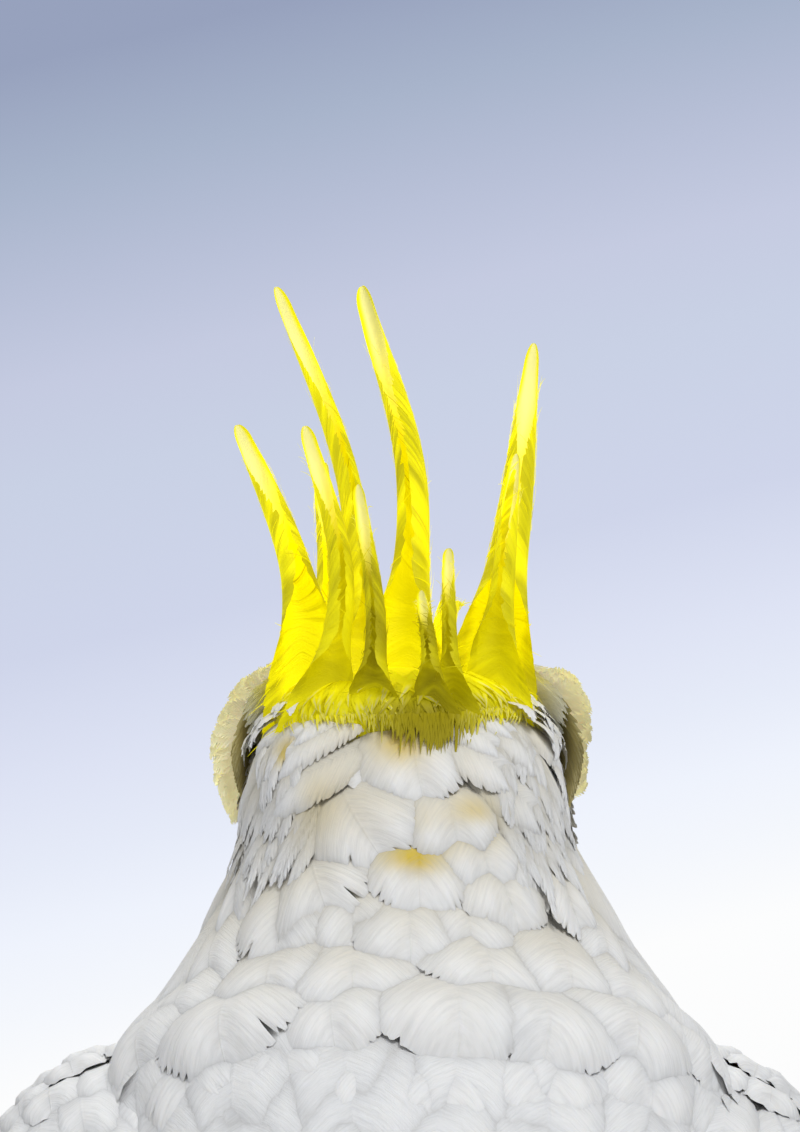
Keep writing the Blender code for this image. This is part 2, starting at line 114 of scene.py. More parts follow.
# Crest feathers: side and y of the root, side and height of the middle, side, y and height of the tip,
# half widths at root, middle and tip, how high the flare at the root reaches, and how olive it is, painted
# shade for the feathers that stand in shadow. Sides are to the bird's right of the crest's middle.
CREST_FEATHERS = {
    "rear_short": (7, -25.5, 6.2, 9, 4.2, -27, 20.5, 4.4, 2.4, 1.2, 13, 0.93),
    "rear_right": (11, -27.5, 10.2, 13, 9.8, -31, 29, 4.4, 2.2, 1.4, 15, 0.76),
    "rear_middle": (-5.5, -27.5, -4.6, 16, -8.6, -37, 42, 5.6, 2.9, 1.5, 17, 0.88),
    "rear_left": (-16.5, -33, -12.4, 24, -19.6, -46, 54, 6, 3.6, 1.8, 20, 0.52),
    "side_left": (-19, -42, -22.4, 25, -33.8, -60, 54.5, 7.4, 4.6, 1.9, 38, 0.12),
    "side_right": (19, -40, 21.5, 21, 23.8, -52, 48.5, 6.6, 3.6, 1.5, 30, 0.47),
    "long_right": (17, -46, 23.2, 33, 27.8, -72, 71.8, 9, 5.4, 1.5, 40, 0.17),
    "long_left": (-9, -47, -11.2, 41, -26.2, -84, 84, 6.5, 3.6, 1.8, 30, 0.41),
    "long_middle": (0.5, -48, 3.2, 43, -8.2, -92, 84.5, 8.5, 4.6, 2.1, 38, 0.29),
    "front_left": (-15, -58, -13.8, 24, -16.4, -92, 47, 7, 3.8, 1.9, 28, 0.07),
    "front_middle": (2, -61, 2.8, 26, 2, -104, 52, 7, 4, 2.1, 28, 0.1),
    "front_right": (16, -57, 22, 18, 25.2, -86, 38, 6, 3.4, 1.9, 26, 0.14),
    "brow_left": (-8, -72, -9, 12, -11, -97, 18, 4.6, 3.2, 1.9, 9, 0.2),
    "brow_right": (8, -72, 9, 12, 11, -97, 18, 4.6, 3.2, 1.9, 9, 0.22),
}
# The large feathers of the nape and the mantle, from the parting down: side and height of the root, side
# and height of the tip, half width, and how far its middle is puffed up. Sides are to the bird's left of
# the frame's middle.
NAPE_FEATHERS = np.array([
    (12, 322, 27, 310, 4.5, 0.4), (9, 321, 30, 303.5, 5.5, 0.5), (9, 314, 31, 297, 6.5, 0.6),
    (18, 325, 33, 309, 4, 0.3), (23, 322, 33, 301, 3.2, 0.3), (27, 322, 35, 297, 3, 0.3),
    (30, 320, 36, 291, 3, 0.3), (32, 316, 37, 284, 3.2, 0.3), (22, 313, 32, 292, 4.6, 0.4),
    (27, 309, 35.5, 285, 4.6, 0.4), (19, 307, 29, 288, 6, 0.6), (31, 303, 38, 278, 5, 0.4),
    (3.5, 319, -1, 299.5, 10.5, 0.9), (1, 317, -20, 302, 6.6, 0.8), (-1, 320, -18, 307.5, 5, 0.5),
    (-6, 323, -20, 311.5, 4.5, 0.4), (-8, 325, -24, 304, 5.6, 0.5), (-14, 326, -29, 303, 5.4, 0.5),
    (-18, 325, -31, 308, 3.4, 0.3), (-22, 322, -32, 298, 3.2, 0.3), (-24, 320, -33.5, 291, 3.2, 0.3),
    (-15, 313, -29, 292, 6, 0.5), (-20, 310, -33, 286, 5, 0.4), (-24, 306, -36, 280, 4.6, 0.4),
    (18, 308, 6, 287, 12.5, 1.4), (-4, 309, -8, 288.5, 10.5, 1.1), (-8, 311, -25, 293.5, 6.5, 0.8),
    (0, 298, 0, 277, 11, 1), (-10, 301, -15, 281.5, 11, 1), (-19, 300, -28, 281, 9, 0.8),
    (24, 294, 17, 274.5, 11, 1.4), (28, 303, 30, 283, 9, 0.8), (36, 297, 39, 272, 8, 0.8),
    (-14, 293, -20, 274, 10.5, 1.2), (-26, 293, -33, 272, 8.5, 0.8), (-33, 288, -38, 264, 8, 0.8),
    (2, 288, 2, 267, 11, 1.2), (-8, 288, -11, 268.5, 10, 1), (26, 290, 29, 268, 11, 1.1),
    (14, 290, 13, 270, 10, 1), (38, 285, 42, 262, 9, 1), (13, 279, 13, 259, 12, 1.5),
    (-12, 281, -14, 261, 12, 1.3), (-26, 280, -30, 260, 11, 1.2), (-36, 278, -41, 256, 10, 1.2),
    (28, 279, 30, 258, 12, 1.6), (42, 276, 47, 252, 10, 1.5), (-6, 272, -7, 249.5, 15, 2.8),
    (-21, 270, -23, 247, 13.5, 2.8), (-36, 268, -40, 246, 13, 2.2), (17, 271, 16, 250, 11, 2),
    (34, 270, 37, 246.5, 14, 2.8), (48, 268, 54, 243, 12, 2.2), (-4, 258, -4, 236.5, 14, 1.2),
    (10, 259, 9, 239, 12, 1.2), (24, 263, 26, 241, 13, 1.4), (-22, 259, -24, 238, 14, 1.2),
    (41, 260, 45, 236, 14, 1.4), (-40, 260, -44, 237, 14, 1.2), (-52, 262, -58, 240, 12, 1.2),
])
EYE_LOW, EYE_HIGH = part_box("eye_left")
# From the design's place to the frame's: the left eyeball is where the frame has it.
SHIFT = np.array((EYE_LOW + EYE_HIGH) / 2) / MM - (HEAD_X + EYE_MIDDLE[0], *EYE_MIDDLE[1:])


# ---------------------------------------------------------------- curves and surfaces


def rows(table, at):
    """A table's rows as one smooth curve, for an array of places from 0 (first row) to 1 (last): Hermite
    cubics whose slopes are the mean of the steps on either side, and straight beyond both ends."""
    place = np.asarray(at) * (len(table) - 1)
    low = np.clip(place.astype(int), 0, len(table) - 2)
    inside = np.clip(place, 0, len(table) - 1)
    p = (inside - low)[..., None]
    slope = np.gradient(table, axis=0)
    curve = (
        (1 + 2 * p) * (1 - p) ** 2 * table[low]
        + p * (1 - p) ** 2 * slope[low]
        + p**2 * (3 - 2 * p) * table[low + 1]
        + p**2 * (p - 1) * slope[low + 1]
    )
    ends = np.where((place > inside)[..., None], slope[-1], slope[0])
    return curve + (place - inside)[..., None] * ends


def unit(vectors):
    """Each vector divided by its length."""
    return vectors / np.maximum(np.linalg.norm(vectors, axis=-1, keepdims=True), 1e-9)


def smooth(low, high, value):
    """0 below low, 1 above high, and the cubic 3t^2 - 2t^3 between them."""
    part = np.clip((value - low) / (high - low), 0, 1)
    return part * part * (3 - 2 * part)


def slope(table, at):
    """How a table's rows change from PEEK before each place to PEEK after it."""
    return rows(table, np.asarray(at) + PEEK) - rows(table, np.asarray(at) - PEEK)


def run(table, at):
    """The unit vector along a line whose y and z are a table's first two columns."""
    step = slope(table, at)
    return unit(np.stack([0 * step[..., 0], step[..., 0], step[..., 1]], -1))


def around(count):
    """Angles spread evenly round a full turn."""
    return np.linspace(0, TAU, count, endpoint=False)


def body(a, b):
    """The outside of the body. At a from 0 (crown) to 1 (root of the tail) it is an ellipse in a tilted
    plane, b is the angle round it from the back towards the bird's left, and its half width is
    multiplied by 1 + egg * (cos b - 0.5)."""
    row = rows(BODY, a)
    tilt = np.radians(row[..., 3])
    wide = np.maximum(row[..., 4], 1.0) * np.sin(b) * (1 + row[..., 6] * (np.cos(b) - 0.5))
    deep = np.maximum(row[..., 5], 1.0) * np.cos(b)
    return row[..., :3] + np.stack([wide, deep * np.cos(tilt), deep * np.sin(tilt)], -1)


def on_back(x, z):
    """The body's (a, b) at a side and a height of the back. The row is found from its middle's height,
    less what the tilt adds, and the angle from the half width there; eight rounds bring both together."""
    grid = np.linspace(0.02, 0.9, 400)
    heights = rows(BODY, grid)[:, 2]
    b = np.zeros(len(x))
    a = np.interp(-z, -heights, grid)
    for _ in range(8):
        row = rows(BODY, a)
        a = np.interp(row[:, 5] * np.sin(np.radians(row[:, 3])) * np.cos(b) - z, -heights, grid)
        wide = row[:, 4] * (1 + row[:, 6] * (np.cos(b) - 0.5))
        b = np.arcsin(np.clip((x - row[:, 0]) / wide, -0.97, 0.97))
    return a, b


def wing(side):
    """The outer face of a folded wing: at a from 0 (bend) to 1 (tip) an arc in a plane square to the
    wing's line, with b from -1 (lower edge) to 1 (upper edge)."""
    sign = SIDES[side]
    away = sign * X_AXIS

    def surface(a, b):
        row = rows(WING, a)
        up = np.cross(run(WING, a), -X_AXIS)
        roll, curl = np.radians(row[..., 3:4]), np.radians(row[..., 6:7])
        outward = np.cos(roll) * away + np.sin(roll) * up
        across = np.cos(roll) * up - np.sin(roll) * away
        middle = np.stack([row[..., 2] * sign * WING_SPREAD[side], row[..., 0], row[..., 1]], -1)
        radius = np.maximum(row[..., 4:5], 2.0) / np.sin(curl)
        bow, half = np.asarray(b)[..., None], row[..., 5:6] / 2
        reach = radius + half * np.sqrt(np.clip(1 - bow**2, 0, 1))
        arc = np.sin(curl * bow) * across + np.cos(curl * bow) * outward
        return middle - outward * (half + radius) + reach * arc

    return surface


def tail(a, b):
    """The upper face of the tail: an arch of half width w through twice TAIL_CURL, with b from -1 (right)
    to 1 (left)."""
    row, curl, bow = rows(TAIL, a), math.radians(TAIL_CURL), np.asarray(b)[..., None]
    up = np.cross(X_AXIS, run(TAIL, a))
    radius = row[..., 2:3] / math.sin(curl)
    reach = radius + row[..., 3:4] / 2 * np.sqrt(np.clip(1 - bow**2, 0, 1))
    middle = np.stack([0 * row[..., 0], row[..., 0], row[..., 1]], -1)
    return middle + reach * np.sin(bow * curl) * X_AXIS + (reach * np.cos(bow * curl) - radius) * up


def ruff(side):
    """The outer face of a cheek's fan: a strip bent through twice RUFF_CURL, with a from 0 (top) to 1 and
    b from -1 (on the face) to 1 (free edge)."""
    sign = SIDES[side]
    mirror = np.array([sign, 1.0, 1.0])

    def surface(a, b):
        row = rows(RUFF, a)
        along = unit(slope(RUFF, a)[..., :3] * mirror)
        across = np.array(RUFF_ACROSS) * mirror
        across = unit(across - (across * along).sum(-1, keepdims=True) * along)
        outward = np.cross(across, along)
        outward = outward * np.sign(outward[..., :1] * sign)
        curl = math.radians(RUFF_CURL)
        radius = row[..., 3:4] / math.sin(curl)
        angle, reach = np.asarray(b)[..., None] * curl, radius + 1.5
        middle = row[..., :3] * mirror + HEAD_X * X_AXIS
        return middle + reach * np.sin(angle) * across + (reach * np.cos(angle) - radius) * outward

    return surface


def steps(surface, a, b):
    """The surface's two slopes at (a, b), by central differences: millimetres for each unit of a and b."""
    by_a = (surface(a + STEP, b) - surface(a - STEP, b)) / (2 * STEP)
    by_b = (surface(a, b + STEP) - surface(a, b - STEP)) / (2 * STEP)
    return by_a, by_b


def unwrapped(a, b, turns=True):
    """A place on the surface's own unwrap, inside 0.01 to 0.99. On a surface that turns right round, b is
    an angle."""
    across = np.mod(b / TAU + 0.5, 1.0) if turns else b * 0.5 + 0.5
    return np.clip(across, 0.01, 0.99), np.clip(a, 0.01, 0.99)


def away(points, middle):
    """How far points are from a middle."""
    return np.linalg.norm(points - np.array(middle), axis=-1)


# ---------------------------------------------------------------- feathers


def vane(count, length, half, lines, columns, rng, tip=2.3, widest=0.6, root=0.35, sweep=0.9, teeth=0.6,
         splits=0.0, notch=0.6):
    """Flat vanes, as arrays of shape (count, lines, columns). Each line is a barb. The outline's half
    width is a quarter sine up to its widest place and then a superellipse of power tip. A barb leaves the
    shaft sweep half widths below its end, and runs to it on y = a + (t - a) * v^1.4. Every third barb may
    end up to twice teeth millimetres short, which leaves a narrow notch between two bundles, and splits is
    the share of barbs that are cut far shorter. Columns crowd towards the edges.
    Returns across and along in millimetres, t along the outline, and v from -1 to 1."""
    first = int(lines * 0.45)
    t_low = np.linspace(0.03, widest, first, endpoint=False)
    turn = np.linspace(0, math.pi / 2, lines - first)
    t = np.concatenate([t_low, widest + (1 - widest) * np.sin(turn)])
    wide = np.concatenate(
        [root + (1 - root) * np.sin(math.pi / 2 * t_low / widest) ** 0.9, np.cos(turn) ** (2 / tip)]
    )
    wide[-1] = 0.0
    v = np.linspace(-1, 1, columns)
    v = np.sign(v) * np.abs(v) ** 0.7
    length = np.broadcast_to(length, count)[:, None, None]
    half = np.broadcast_to(half, count)[:, None, None]
    open_here = (np.arange(lines) % 3 == 0) & (rng.random((count, 2, lines)) < notch)
    short = np.where(open_here, rng.uniform(0.5, 2.0, (count, 2, lines)), 0.0) * teeth
    short = short + rng.uniform(0, 0.4, (count, 2, lines)) * teeth
    cut = rng.random((count, 2, lines)) < splits
    short = np.where(cut, half * rng.uniform(0.15, 0.35, (count, 2, lines)), short)
    side = (v > 0).astype(int)
    reach = short[:, side, :].transpose(0, 2, 1) * smooth(0, 0.35, wide)[None, :, None]
    pull = 1 - np.minimum(reach / np.maximum(half * np.maximum(wide, 0.25)[None, :, None], 1), 0.7) * (
        np.abs(v) ** 5
    )
    across = half * wide[None, :, None] * v * pull
    start = t[None, :, None] - sweep * half / length * wide[None, :, None]
    share = np.abs(v * pull) ** 1.4
    along = length * np.maximum(start + (t[None, :, None] - start) * share, 0.0)
    return across, along, t, v


def lay(surface, sign, roots, ends, half, lines, columns, rng, depth=3.2, end=0.2, rise=1.7, camber=0.1,
        bulge=0.05, roll=0.04, fray=0.2, lift=0.0, over=0.0, tilt=0.0, rim=0.0, puff=0.0, turns=True,
        **shape):
    """Feathers on a surface. Each runs on a straight line in the surface's own (a, b) from its root to
    its end. A vertex's distance across is turned into a step of (a, b) by the surface's slopes, and it
    is raised along the normal: from -depth at the root to end at the tip on 1 - (1 - share)^rise, plus
    lift * share^3, plus puff * sin(pi * share^1.7), plus tilt * across, less camber * across^2 / half,
    plus a bulge on each half of the vane, less a rim that bends down as the fifth power of the way to the
    edge, and a fray at the edge.
    Returns a batch: points, values for each vertex, the surface's sign and the roots' place on the
    surface's unwrap."""
    (a0, b0), (a1, b1) = roots, ends
    count = len(a0)
    ma, mb = steps(surface, (a0 + a1) / 2, (b0 + b1) / 2)
    la, lb = np.linalg.norm(ma, axis=-1), np.linalg.norm(mb, axis=-1)
    go_a, go_b = (a1 - a0) * la, (b1 - b0) * lb
    length = np.hypot(go_a, go_b)
    sin, cos = (go_b / length)[:, None, None], (go_a / length)[:, None, None]
    x, y, t, v = vane(count, length, half, lines, columns, rng, **shape)
    share = y / length[:, None, None]
    ca = a0[:, None, None] + (a1 - a0)[:, None, None] * share
    cb = b0[:, None, None] + (b1 - b0)[:, None, None] * share
    middle = columns // 2
    ra, rb = steps(surface, ca[..., middle], cb[..., middle])
    ra = np.maximum(np.linalg.norm(ra, axis=-1), 0.15 * la[:, None])[..., None]
    rb = np.maximum(np.linalg.norm(rb, axis=-1), 0.3 * lb[:, None])[..., None]
    a, b = ca - x * sin / ra, cb + x * cos / rb
    by_a, by_b = steps(surface, a, b)
    normal = unit(np.cross(by_b, by_a)) * sign
    given = half, over, lift, depth, end, tilt, puff
    half, over, lift, depth, end, tilt, puff = (np.broadcast_to(g, count)[:, None, None] for g in given)
    wide = np.abs(x) / half
    loose = rng.normal(0, 1, (count, lines, 2))[:, :, (v > 0).astype(int)]
    edge = np.maximum(np.abs(v), smooth(0.75, 1.0, t)[:, None])
    height = (
        over
        - depth
        + (end + depth) * (1 - (1 - np.clip(share, 0, 1)) ** rise)
        + lift * share**3
        - camber * half * wide**2
        + bulge * half * 4 * wide * (1 - np.minimum(wide, 1))
        + (tilt + rng.normal(0, roll, (count, 1, 1))) * x
        + puff * np.sin(math.pi * np.clip(share, 0, 1) ** 1.7)
        - rim * edge**5
        + fray * loose * np.abs(v) ** 4
    )
    points = surface(a, b) + normal * height[..., None]
    made = values(x, y, t, v, length, rng)
    made["place"] = np.stack([a, b, height], -1)
    return points, made, sign, unwrapped(a0, b0, turns)


def under_edge_shade(surface, batches):
    """How far under its neighbours' edges each vertex of some feathers on one surface lies, 0 to 1, which
    the feather material paints into the colour as shade under the edges. The surface is laid flat in cells
    that keep the greatest height, and a vertex lies as deep under as the highest of the cells near it stands
    above it, from nothing at bare to all at bare + full millimetres, less the farther away that cell is."""
    cell, reach, bare, full, empty = 0.8, 4, 0.15, 0.8, -9.0
    a, b, height = listed([batch[1]["place"] for batch in batches], 3).T
    grid = np.linspace(a.min() - 0.01, a.max() + 0.01, 300)
    by_a, by_b = steps(surface, grid, np.full(300, b.mean()))
    along = np.concatenate([[0], np.cumsum(np.linalg.norm(by_a, axis=-1)[:-1] * np.diff(grid))])
    i = np.interp(a, grid, along) / cell
    j = (b - b.mean()) * np.interp(a, grid, np.linalg.norm(by_b, axis=-1)) / cell
    i, j = (np.rint(k - k.min()).astype(int) + reach + 1 for k in (i, j))
    top = np.full((i.max() + reach + 2, j.max() + reach + 2), empty)
    np.maximum.at(top, (i, j), height)
    filled = np.max([np.roll(top, (di, dj), (0, 1)) for di in (-1, 0, 1) for dj in (-1, 0, 1)], axis=0)
    top = np.where(top < empty + 1, filled, top)
    total = np.zeros(len(height))
    for di in range(-reach, reach + 1):
        for dj in range(-reach, reach + 1):
            far = math.hypot(di, dj)
            if 0 < far <= reach:
                above = np.clip((top[i + di, j + dj] - height - bare) / full, 0, 1)
                total = np.maximum(total, above * (1 - (far - 1) / reach))
    sizes = np.cumsum([batch[1]["along"].size for batch in batches])[:-1]
    return np.split(total, sizes)


def values(x, y, t, v, length, rng):
    """For each vertex: how far along its feather it is, how far across, a number of its own feather's,
    and its place among the barbs in millimetres."""
    line, length = np.broadcast_to(t[None, :, None], x.shape), length[:, None, None]
    own = np.broadcast_to(rng.random(len(x))[:, None, None], x.shape)
    barb = np.stack([line * length, x], -1)
    across = np.broadcast_to(v, x.shape)
    return {"along": y / length, "across": across, "own": own, "barb": barb, "line": line}


def rolled(knots, t, v, turn):
    """A long rolled feather. Its shaft is a smooth curve through the knots, each of x, y, z, half the
    visible width, half the angle the vane is rolled through and how far up the flare it is. A section is
    an arc whose hollow side looks backwards, turned about the shaft by turn. The barb that leaves the
    shaft at t climbs by sweep half widths to the edge, less and less towards the tip, where all of them
    meet. In the flare at the root it falls by drop half widths instead, like a skirt. Returns points,
    each one's distance across, and the shaft's length."""
    sweep, drop = 8.0, 1.1
    line = rows(knots, np.linspace(0, 1, 40))
    length = np.linalg.norm(np.diff(line[:, :3], axis=0), axis=-1).sum()
    wide = np.minimum(rows(knots, t)[..., 3], 6.0)
    low = 1 - smooth(0.45, 1.15, rows(knots, t)[..., 5])
    shift = (sweep * (1 - low) - drop * low) * wide * np.abs(v) ** 1.3 / length
    left = np.maximum(1 - t, 1e-4)
    push = np.maximum(shift, 0)
    push = push / (1 + push / (2 * left))
    at = np.where(shift > 0, t + left * (1 - np.exp(-push / left)), t + shift)
    row = rows(knots, at)
    place, curl = row[..., :3], row[..., 4]
    half = row[..., 3] * np.sqrt(1 - ((at - 0.94) / 0.06).clip(0, 1) ** 2)
    along = unit(slope(knots, at)[..., :3])
    across = unit(np.cross(along, -Y_AXIS))
    ahead = np.cross(across, along)
    across, ahead = (
        math.cos(turn) * across + math.sin(turn) * ahead,
        math.cos(turn) * ahead - math.sin(turn) * across,
    )
    curl = np.where(np.abs(curl) < 0.02, 0.02, curl)
    radius = (half / np.sin(np.minimum(curl, math.pi / 2)))[..., None]
    angle = (curl * v)[..., None]
    points = place + radius * np.sin(angle) * across - radius * (1 - np.cos(angle)) * ahead
    return points, (radius * angle)[..., 0], length


def merged(parts):
    """The values of several sets of vertices as one set."""
    return {key: np.concatenate([part[key] for part in parts]) for key in parts[0]}


def long_feathers(knots, turns, lines, columns, rng):
    """Grids of rolled feathers, one for each set of knots, whose barbs end unevenly."""
    teeth = 0.8
    tip = 0.9 + 0.1 * np.sin(np.linspace(0, math.pi / 2, 12))
    t = np.concatenate([np.linspace(0, 0.9, lines - 12, endpoint=False), tip])
    v = np.linspace(-1, 1, columns)
    grids, parts = [], []
    for knot, turn in zip(knots, turns):
        short = rng.uniform(0, 1, (lines, 2)) ** 2 * teeth * (0.1 + 0.9 * (np.arange(lines) % 2))[:, None]
        short = short * smooth(0.8, 0.5, t)[:, None] / np.maximum(2 * rows(knot, t)[:, 3:4], 2.5)
        pull = 1 - short[:, (v > 0).astype(int)] * np.abs(v) ** 6
        points, x, length = rolled(knot, np.broadcast_to(t[:, None], pull.shape), v * pull, turn)
        grids.append(points)
        parts.append(values(x[None], (t[:, None] * length + 0 * x)[None], t, v, np.array([length]), rng))
    return np.stack(grids), merged(parts)


def loose_barbs(knots, turns, count, rng):
    """Thin ribbons that stand off the edges of rolled feathers: each follows one barb from inside the
    vane to a little beyond its edge, tapering to a point."""
    width, grids, parts = 0.32, [], []
    s = np.linspace(0, 1, 6)[:, None]
    for knot, turn in zip(knots, turns):
        root = rng.uniform(0.0, 0.85, (count, 1, 1)) ** 1.3
        side = rng.choice([-1.0, 1.0], (count, 1, 1))
        v = side * (rng.uniform(0.2, 0.8, (count, 1, 1)) + s * rng.uniform(0.25, 0.6, (count, 1, 1)))
        points, x, length = rolled(knot + np.array([0, 0, 0, 0.2, 0, 0]), root + 0 * v, v, turn)
        lean = rng.normal(0, 0.8, (count, 1, 1, 3)) * s[..., None] ** 2
        wide = width * (1 - 0.85 * s) * np.array([-0.5, 0.5])
        grids.append(points + lean + wide[..., None] * np.array([0.25, 0.1, 1.0]))
        x = np.repeat(x, 2, -1)
        made = values(x, root * length + 0 * x, np.zeros(len(s)), np.zeros(2), np.full(count, length), rng)
        made["across"] = np.abs(v) * 0.6 + 0 * x
        made["line"] = root + 0 * x
        made["barb"] = np.stack([root * length + 0 * x, x], -1)
        parts.append(made)
    return np.concatenate(grids), merged(parts)


# ---------------------------------------------------------------- meshes


def mesh_object(name, points, faces, material):
    """A mesh of points in design millimetres and faces of equal size, at the origin of the frame."""
    mesh = bpy.data.meshes.new(name)
    flat = ((points.reshape(-1, 3) + SHIFT) * MM).astype(np.float32)
    mesh.vertices.add(len(flat))
    mesh.vertices.foreach_set("co", flat.ravel())
    mesh.loops.add(faces.size)
    mesh.polygons.add(len(faces))
    starts = np.arange(0, faces.size, faces.shape[1], dtype=np.int32)
    mesh.polygons.foreach_set("loop_start", starts)
    mesh.loops.foreach_set("vertex_index", faces.ravel().astype(np.int32))
    mesh.update(calc_edges=True)
    mesh.shade_smooth()
    mesh.materials.append(material)
    made = bpy.data.objects.new(name, mesh)
    bpy.context.scene.collection.objects.link(made)
    return made


def placed(piece, slot, *nodes):
    """Ties a piece to the body and hides the solids that it stands for. Its slot is not used."""
    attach(piece, "root")
    if nodes:
        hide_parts(*nodes)
    return piece


def give(piece, name, kind, data):
    """Stores one value for each vertex of a piece."""
    layer = piece.data.attributes.new(name, kind, "POINT")
    field = "vector" if kind == "FLOAT_VECTOR" else "value"
    layer.data.foreach_set(field, np.ascontiguousarray(data, np.float32).ravel())


def give_uv(piece, name, data):
    """Stores a UV map from one pair for each vertex."""
    layer = piece.data.uv_layers.new(name=name)
    corner = np.empty(len(piece.data.loops), np.int32)
    piece.data.loops.foreach_get("vertex_index", corner)
    layer.data.foreach_set("uv", data.reshape(-1, 2)[corner].astype(np.float32).ravel())


def listed(arrays, width):
    """Arrays of any shape, whose last side is width, as one list of rows."""
    return np.concatenate([array.reshape(-1, width) for array in arrays])


def feather_object(name, batches, material, slot, *nodes, painted_shade=None):
    """One piece from batches of feathers, each of them what lay returns. A feather's patch of the OFBake
    map lies at its root's place on the surface's unwrap and is PATCH across. With a painted shade, the piece
    gets the golden markings and how far under its neighbours' edges each vertex lies, painted as shade."""
    faces, places, start = [], [], 0
    for grid, made, sign, roots in batches:
        index = start + np.arange(grid[..., 0].size).reshape(grid.shape[:3])
        corners = [index[:, :-1, :-1], index[:, :-1, 1:], index[:, 1:, 1:], index[:, 1:, :-1]]
        if sign < 0:
            corners.reverse()
        faces.append(np.stack(corners, -1))
        local = np.stack([made["across"] * 0.5, made["line"] - 0.5], -1) * PATCH
        places.append(np.stack(roots, -1)[:, None, None] + local)
        start += index.size
    points, all_made = [batch[0] for batch in batches], [batch[1] for batch in batches]
    piece = mesh_object(name, listed(points, 3), listed(faces, 4), material)
    own = [np.stack([made["along"], made["across"], made["own"]], -1) for made in all_made]
    give(piece, "feather", "FLOAT_VECTOR", listed(own, 3))
    give_uv(piece, "OFBake", listed(places, 2))
    give_uv(piece, "barb", listed([made["barb"] for made in all_made], 2))
    if painted_shade is not None:
        along = listed([made["along"] for made in all_made], 1)[:, 0]
        give(piece, "gold", "FLOAT", gold(listed(points, 3), along))
        give(piece, "painted_shade", "FLOAT", np.concatenate(painted_shade))
    return placed(piece, slot, *nodes)


def scatter(surface, a_range, b_range, step_a, step_b, rng, jitter=0.25):
    """Staggered roots over a part of a surface: rows of a step_a millimetres apart along the middle, each
    with roots step_b apart. Both steps may be functions of a."""
    a, found, odd = a_range[0], [], False
    wide, middle = b_range[1] - b_range[0], np.array([(b_range[0] + b_range[1]) / 2])
    while a < a_range[1]:
        along, beside = (step(a) if callable(step) else step for step in (step_a, step_b))
        long_a, long_b = (np.linalg.norm(by) for by in steps(surface, np.array([a]), middle))
        number = max(int(round(wide * long_b / beside)), 2)
        b = b_range[0] + (np.arange(number) + (0.25 if odd else 0.75)) / number * wide
        b = b + rng.uniform(-1, 1, number) * jitter * wide / number
        found.append((a + rng.uniform(-1, 1, number) * jitter * along / long_a, b))
        a += along / long_a
        odd = not odd
    return np.concatenate(found, axis=1)


def towards(surface, a, b, length, heading):
    """Where feathers of a length end that leave (a, b) at a heading, 0 along a and positive towards b."""
    long_a, long_b = (np.linalg.norm(by, axis=-1) for by in steps(surface, a, b))
    return a + length * np.cos(heading) / long_a, b + length * np.sin(heading) / np.maximum(long_b, 4.0)


def gold(points, along):
    """How golden the plumage is at each point, 0 to 1: the sum of soft spots, each falling off with the
    square of the distance from its middle. In the gaps only the roots are golden."""
    total = np.zeros(points.shape[:-1])
    for spots, share in ((GOLD_SPOTS, 1.0), (GOLD_GAPS, smooth(0.75, 0.5, along))):
        for *middle, wide, strength in spots:
            away = ((points - np.array(middle)) ** 2).sum(-1)
            total += share * strength * np.exp(-away / wide**2)
    return np.clip(total, 0, 1)


def closed_tube(grids):
    """Points and faces of tubes, each a grid of rings whose last column meets its first, with a point
    that closes each end."""
    points, faces, start = [], [], 0
    for grid in grids:
        n, m = grid.shape[:2]
        index = start + np.arange(n * m).reshape(n, m)
        beside = np.roll(index, -1, axis=1)
        first, last = np.full((2, m), start + n * m) + [[0], [1]]
        faces += [
            np.stack([index[:-1], beside[:-1], beside[1:], index[1:]], -1).reshape(-1, 4),
            np.stack([beside[0], index[0], first, first], -1),
            np.stack([index[-1], beside[-1], last, last], -1),
        ]
        points += [grid.reshape(-1, 3), grid[0].mean(0)[None], grid[-1].mean(0)[None]]
        start += n * m + 2
    return np.concatenate(points), np.concatenate(faces)


def tube_object(name, grids, material, slot, *nodes, lowest=-np.inf):
    """A piece from closed tubes, none of it under lowest: quads whose last two corners are one point
    become triangles."""
    points, faces = closed_tube(grids)
    points[:, 2] = np.maximum(points[:, 2], lowest)
    ends = faces[:, 2] == faces[:, 3]
    piece = mesh_object(name, points, faces[~ends], material)
    shape = bmesh.new()
    shape.from_mesh(piece.data)
    shape.verts.ensure_lookup_table()
    for face in faces[ends, :3].tolist():
        shape.faces.new([shape.verts[index] for index in face]).smooth = True
    bmesh.ops.recalc_face_normals(shape, faces=shape.faces)
    shape.to_mesh(piece.data)
    shape.free()
    return placed(piece, slot, *nodes)


def remesh(piece, voxel, rounds):
    """Melts a piece's shells into one closed surface of even small faces, smoothed a few times."""
    melt = piece.modifiers.new("Melt", "REMESH")
    melt.mode, melt.voxel_size = "VOXEL", voxel * MM
    soften = piece.modifiers.new("Soften", "SMOOTH")
    soften.iterations, soften.factor = rounds, 0.5
    whole = piece.evaluated_get(bpy.context.evaluated_depsgraph_get())
    mesh, old = bpy.data.meshes.new_from_object(whole), piece.data
    piece.modifiers.clear()
    piece.data = mesh
    bpy.data.meshes.remove(old)
    mesh.shade_smooth()


# ---------------------------------------------------------------- materials

SOCKETS = {
    "soft": "Subsurface Weight", "soft_scale": "Subsurface Scale", "soft_reach": "Subsurface Radius",
    "coat": "Coat Weight", "coat_rough": "Coat Roughness", "specular": "Specular IOR Level",
    "glow": "Emission Color", "glow_strength": "Emission Strength",
}


